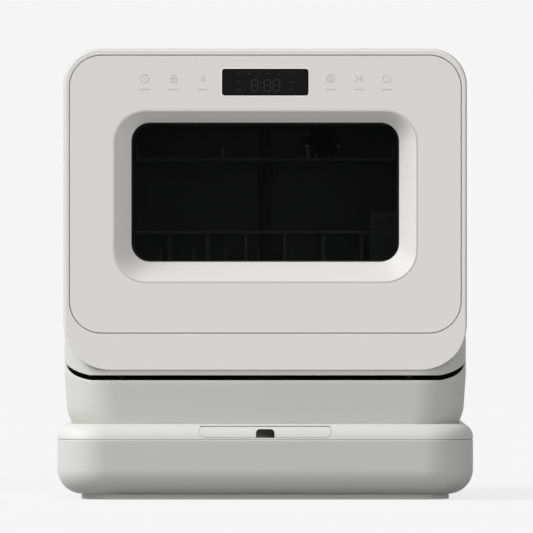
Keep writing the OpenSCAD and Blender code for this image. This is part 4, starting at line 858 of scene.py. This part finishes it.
# Flat strokes and filled shapes in millimetres, given thickness: ink that stands a little off the face
def inkMesh(name, strokes, fills, y, thickness):
    loops = []
    for points, width, closed in strokes:
        for start, end in zip(points, points[1:] + (points[:1] if closed else [])):
            a, b = Vector(start), Vector(end)
            along = (b - a).normalized()
            side = Vector((-along.y, along.x)) * width / 2
            loops.append([tuple(p) for p in (a - side, b - side, b + side, a + side)])
    mesh = bpy.data.meshes.new(name)
    with editing(mesh) as work:
        for loop in loops + fills:
            front = [work.verts.new((x * mm, y - thickness * mm, z * mm)) for x, z in loop]
            back = [work.verts.new((x * mm, y, z * mm)) for x, z in loop]
            work.faces.new(front)
            work.faces.new(back[::-1])
            for i in range(len(loop)):
                j = (i + 1) % len(loop)
                work.faces.new((front[j], front[i], back[i], back[j]))
        bmesh.ops.recalc_face_normals(work, faces=work.faces)
    return mesh


def disc(x, z, radius, corners=16):
    return arc(x, z, radius, 0, 360 - 360 / corners, corners - 1)


# Closed band between two arcs, one piece, so that round strokes have no seams
def band(x, z, radius, width, start, end, steps=28):
    outside, inside = (arc(x, z, radius + side * width / 2, start, end, steps) for side in (1, -1))
    return outside + inside[::-1]


iconSettings = {"height": 438.7, "labelHeight": 427.3, "line": 0.85, "radius": 4.3,
                "places": {"cycle": -125.5, "lock": -95.1, "tap": -65.6, "dial": 67.9, "start": 97.6,
                           "power": 126.7},
                "tapShift": 1.4, "labelWidth": 10, "labelLine": 1.1, "thickness": 0.04}


# Six line icons over plain dashes; each stroke is given from its icon's middle
def makeIcons(g):
    z, r, line, place = g["height"], g["radius"], g["line"], g["places"]
    strokes, fills = [], []

    def stroke(x, points, width=line, closed=False):
        strokes.append(([(x + across, z + up) for across, up in points], width, closed))

    x = place["cycle"]      # ring with an arrow head in its gap, and a dash inside
    fills += [band(x, z, r, line, 60, 385), [(x + 1.6, z + 4.9), (x + 3.6, z + 2.2), (x + 0.6, z + 2.9)]]
    stroke(x, [(-1.9, 0), (1.9, 0)])
    x = place["lock"]       # open padlock with a keyhole
    stroke(x, [(-3, -3.9), (3, -3.9), (3, 0.4), (-3, 0.4)], closed=True)
    fills += [band(x + 0.2, z + 2.2, 2, line, -10, 180), disc(x, z - 1.3, 0.75)]
    stroke(x, [(-1.8, 2.3), (-1.8, 0.4)])
    stroke(x, [(0, -1.3), (0, -2.8)], 0.8 * line)
    x = place["tap"] + g["tapShift"]        # a drop on a stalk, and the level beside it
    stroke(x, [(-4.2, -1.4), (-1.9, -1.4)])
    stroke(x, [(0, 3.9), (0, 0.5)])
    stroke(x, [(0, 0.3), (1.7, -1.4), (0, -3.1), (-1.7, -1.4)], 0.9 * line, True)
    x = place["dial"]       # double ring round a diamond, with a dot
    fills += [band(x, z, r, 0.8 * line, 50, 390), band(x, z, 0.66 * r, 0.8 * line, 0, 360),
              disc(x + 4, z + 3.8, 0.7)]
    stroke(x, [(0, 1.1), (1.1, 0), (0, -1.1), (-1.1, 0)], 0.6 * line, True)
    x = place["start"]      # arrow head and two bars
    stroke(x, [(-4, 3.2), (-0.6, 0), (-4, -3.2)])
    for bar in (1.4, 3.8):
        stroke(x, [(bar, 3.3), (bar, -3.3)])
    x = place["power"]      # broken ring with a bar
    fills.append(band(x, z, 0.93 * r, line, 125, 415))
    stroke(x, [(0, 5), (0, 0.6)])
    half, drop = g["labelWidth"] / 2, g["labelHeight"] - z
    for x in place.values():
        stroke(x, [(-half, drop), (half, drop)], g["labelLine"])
    mesh = inkMesh("panel_marks", strokes, fills, faceY, g["thickness"])
    newPiece("panel_marks", mesh, finish["ink"], "door")


makeIcons(iconSettings)

screenSettings = {"border": 1.7, "rim": 0.85, "rimLap": 0.05, "rimProud": 0.1, "corner": 3, "layer": 0.02,
                  "digits": (-11.0, 2.1, 11.7), "digitHeight": 12.0, "digitWidth": 6.6, "digitGap": 0.6,
                  "line": 1.1, "colon": -4.4, "colonRise": 2.6, "colonRadius": 0.8, "middle": 431.5,
                  "ticks": (-27.3, -16.9, -6.5, 2.9, 15.4, 26.8), "tickTop": 443.8, "tickHalf": 1.8,
                  "tickLine": 0.8, "sideDrops": (8.7, 15.9), "sideHalf": 2.2, "sideLine": 0.9}


def sevenSegments(x, z, width, height, gap):
    w, h = width / 2, height / 2
    corners = {"tl": (x - w, z + h), "tr": (x + w, z + h), "ml": (x - w, z), "mr": (x + w, z),
               "bl": (x - w, z - h), "br": (x + w, z - h)}
    segments = []
    for ends in ("tl tr", "ml mr", "bl br", "tl ml", "ml bl", "tr mr", "mr br"):
        p, q = (Vector(corners[end]) for end in ends.split())
        pull = (q - p).normalized() * gap
        segments.append([tuple(p + pull), tuple(q - pull)])
    return segments


# Dark screen over the lens, its unlit figures and dashes, and the thin pale rim round it, a painted
# highlight
def makeScreen(g):
    half, low, high = lensHigh.x / mm, lensLow.z / mm, lensHigh.z / mm

    def lensLoop(grow, radius, steps):
        return roundedLoop(half + grow, low - grow, high + grow, radius, steps)

    def dash(x, z, reach, width):
        return [(x - reach, z), (x + reach, z)], width, False

    screen = lensLoop(-g["border"], g["corner"] - g["border"] / 2, 5)
    newPiece("display_screen", inkMesh("display_screen", [], [screen], faceY, g["layer"]), finish["screen"],
             "door")
    figure = (g["middle"], g["digitWidth"], g["digitHeight"], g["digitGap"])
    strokes = [(segment, g["line"], False) for x in g["digits"] for segment in sevenSegments(x, *figure)]
    dots = [disc(g["colon"], g["middle"] + side * g["colonRise"], g["colonRadius"]) for side in (-1, 1)]
    strokes += [dash(x, g["tickTop"], g["tickHalf"], g["tickLine"]) for x in g["ticks"]]
    strokes += [dash(x, g["tickTop"] - drop, g["sideHalf"], g["sideLine"])
                for x in (g["ticks"][0], g["ticks"][-1]) for drop in g["sideDrops"]]
    mesh = inkMesh("display_segments", strokes, dots, faceY - g["layer"] * mm, g["layer"])
    newPiece("display_segments", mesh, finish["segments"], "door")
    # pale rim: a painted highlight for the light caught by the edge of the lens's hole
    outside, inside = ([(x * mm, z * mm) for x, z in lensLoop(grow, g["corner"] + grow, 8)]
                       for grow in (g["rim"], -g["rimLap"]))
    proudY = faceY - g["rimProud"] * mm
    rings = [(outside, faceY), (outside, proudY), (inside, proudY), (inside, faceY)]
    newPiece("display_rim", loftMesh("display_rim", rings), finish["rim"], "door")


makeScreen(screenSettings)
print("panel marks made")

# all in millimetres
rackSettings = {"wire": 1.6, "bend": 7, "bendSteps": 5, "sides": 10, "sideX": 162.44, "y0": -113.44,
                "y1": 143.44, "hw": 165, "front": -116, "back": 146, "stub": 1.2, "pitch": 40.61,
                "baseZ": 200, "crossZ": 202.56, "midZ": 239.5, "rimZ": 279, "crossY": (-28.67, 58.67),
                "foot": 14, "sidePosts": 5, "tineY": (-5.96, 46.44), "tineTop": 262, "tineCount": 8,
                "tineStart": -146, "tineEnd": 96.54, "tineBar": (2.56, 0.7), "tineBarPast": 4,
                "axleZ": 198.3, "axleY": (-86, 116), "axleOut": 177, "axleTop": 216, "axleLap": 1}


# Dish rack of bent and welded wire: rims, base wires, uprights, tines and the wheels' axles
def makeRack(g):
    sideX, hw, y0, y1, front, back = (g[key] for key in ("sideX", "hw", "y0", "y1", "front", "back"))
    stub, pitch, baseZ, crossZ = (g[key] for key in ("stub", "pitch", "baseZ", "crossZ"))
    postTop = g["rimZ"] + stub
    paths = []

    def wire(*points, closed=False):
        paths.append((points, closed))

    for z in (g["midZ"], g["rimZ"]):
        wire((-hw, front, z), (hw, front, z), (hw, back, z), (-hw, back, z), closed=True)
    wire((-sideX, y0, baseZ), (sideX, y0, baseZ), (sideX, y1, baseZ), (-sideX, y1, baseZ), closed=True)
    for i in range(-3, 4):
        wire((i * pitch, y0 - stub, baseZ), (i * pitch, y1 + stub, baseZ))
    for y in (y0, *g["crossY"], y1):
        wire((-sideX - stub, y, crossZ), (sideX + stub, y, crossZ))
    for i in range(-4, 4):
        x = (i + 0.5) * pitch
        for y, inward in ((y0, 1), (y1, -1)):
            wire((x, y + g["foot"] * inward, crossZ), (x, y, crossZ), (x, y, postTop))
    for side in (-1, 1):
        x = side * sideX
        for k in range(g["sidePosts"]):
            y = front + (k + 0.5) * (back - front) / g["sidePosts"]
            wire((side * (sideX - g["foot"]), y, crossZ), (x, y, crossZ), (x, y, postTop))
        x = side * (hw + g["axleLap"])
        for y in g["axleY"]:
            wire((side * g["axleOut"], y, g["axleZ"]), (x, y, g["axleZ"]), (x, y, g["axleTop"]))
    step = (g["tineEnd"] - g["tineStart"]) / (g["tineCount"] - 1)
    for y in g["tineY"]:
        barY, barZ = y + g["tineBar"][0], crossZ + g["tineBar"][1]
        wire((-sideX - stub, barY, barZ), (g["tineEnd"] + g["tineBarPast"], barY, barZ))
        for k in range(g["tineCount"]):
            x = g["tineStart"] + k * step
            wire((x, y, crossZ - stub), (x, y, g["tineTop"]))
    values = {"Wire Radius": g["wire"] * mm, "Bend Radius": g["bend"] * mm, "Bend Steps": g["bendSteps"],
              "Sides": g["sides"]}
    mesh = runTree("dish_rack_wire", pathMesh("dish_rack_wire", paths), bentWire(finish["nylon"]), values)
    standIn("dish_rack_wire", mesh, finish["nylon"], "dish_rack")


makeRack(rackSettings)

shelfSettings = {"wire": 1.6, "thin": 1.28, "hw": 165, "front": -86, "back": 104, "z": 356, "pitch": 30,
                 "bend": 9, "bendSteps": 6, "sides": 10, "prong": (-1, 14), "under": 1.5}


# Upper shelf: a bent frame wire, thinner cross wires and short prongs that keep cups apart
def makeShelf(g):
    hw, front, back, z = g["hw"], g["front"], g["back"], g["z"]
    thick = [([(-hw, front, z), (hw, front, z), (hw, back, z), (-hw, back, z)], True)]
    for i in (-3, -1, 1, 3):
        x = i * g["pitch"] * 1.5
        thick.append(([(x, front, z + end) for end in g["prong"]], False))
    thin = [([(i * g["pitch"], y, z - g["under"]) for y in (front, back)], False) for i in range(-5, 6)]
    tree = bentWire(finish["nylon"])
    meshes = []
    for paths, radius in ((thick, g["wire"]), (thin, g["thin"])):
        values = {"Wire Radius": radius * mm, "Bend Radius": g["bend"] * mm, "Bend Steps": g["bendSteps"],
                  "Sides": g["sides"]}
        meshes.append(runTree("shelf_wire", pathMesh("shelf_wire", paths), tree, values))
    standIn("upper_shelf_wire", joinMeshes("upper_shelf_wire", meshes), finish["nylon"], "upper_shelf")


makeShelf(shelfSettings)
print("wire rack and shelf bent")

studioSettings = {"background": "f5f5f5", "floorShown": "d4d4d4", "floorBounce": "a0a0a0", "ambient": 0.41,
                  "shadowShare": 0.12, "floorHalf": 6.0,
                  "lamps": {"key": {"power": 4.6, "spread": 34, "place": (-2.2, -0.62, 1.95)},
                            "fill": {"power": 0.97, "spread": 50, "place": (0.8, -2.5, 1.2)}}}


# True for every ray that shows the backdrop itself: the camera's, a reflection's, one through glass
def seenDirectly(tree):
    path = addNode(tree, "ShaderNodeLightPath").outputs
    seen = path["Is Camera Ray"]
    for kind in ("Is Glossy Ray", "Is Transmission Ray"):
        larger = addNode(tree, "ShaderNodeMath", {"operation": "MAXIMUM"}, {0: seen, 1: path[kind]})
        seen = larger.outputs[0]
    return seen


# Backdrop tone for what the camera, glass and gloss see; a plain grey ambient for everything else
def makeStudio(settings):
    world = bpy.data.worlds.new("studio")
    scene.world = world
    tree = emptyTree(world)
    backdrop = addNode(tree, "ShaderNodeBackground", {"Color": hexColor(settings["background"])})
    ambient = addNode(tree, "ShaderNodeBackground", {"Strength": settings["ambient"]})
    both = addNode(tree, "ShaderNodeMixShader",
                   links={0: seenDirectly(tree), 1: ambient.outputs[0], 2: backdrop.outputs[0]})
    addNode(tree, "ShaderNodeOutputWorld", links={0: both.outputs[0]})

    floorMesh = bpy.data.meshes.new("floor")
    half = settings["floorHalf"]
    corners = [(-half, -half, 0), (half, -half, 0), (half, half, 0), (-half, half, 0)]
    floorMesh.from_pydata(corners, [], [(0, 1, 2, 3)])
    floor = bpy.data.objects.new("floor", floorMesh)
    scene.collection.objects.link(floor)
    material = bpy.data.materials.new("paleFloor")
    tree = emptyTree(material)
    seen = seenDirectly(tree)
    tone = addNode(tree, "ShaderNodeMix",
                   {"data_type": "RGBA", mixFirst: hexColor(settings["floorBounce"]),
                    mixSecond: hexColor(settings["floorShown"])}, {mixFactor: seen})
    lit = addNode(tree, "ShaderNodeBsdfDiffuse", links={"Color": tone.outputs[mixedColor]})
    plain = addNode(tree, "ShaderNodeEmission", {"Color": hexColor(settings["background"])})
    share = addNode(tree, "ShaderNodeMath", {"operation": "MULTIPLY", 1: 1 - settings["shadowShare"]},
                    {0: seen})
    both = addNode(tree, "ShaderNodeMixShader",
                   links={0: share.outputs[0], 1: lit.outputs[0], 2: plain.outputs[0]})
    addNode(tree, "ShaderNodeOutputMaterial", links={0: both.outputs[0]})
    floorMesh.materials.append(material)

    # suns: even over the whole floor, and soft by their spread
    for name, values in settings["lamps"].items():
        lamp = bpy.data.lights.new(name, "SUN")
        lamp.energy = values["power"]
        lamp.angle = math.radians(values["spread"])
        light = bpy.data.objects.new(name, lamp)
        light.location = Vector(values["place"])
        light.rotation_euler = (-light.location).to_track_quat("-Z", "Y").to_euler()
        scene.collection.objects.link(light)
    scene.view_settings.view_transform = "Standard"


makeStudio(studioSettings)
print("studio lit")
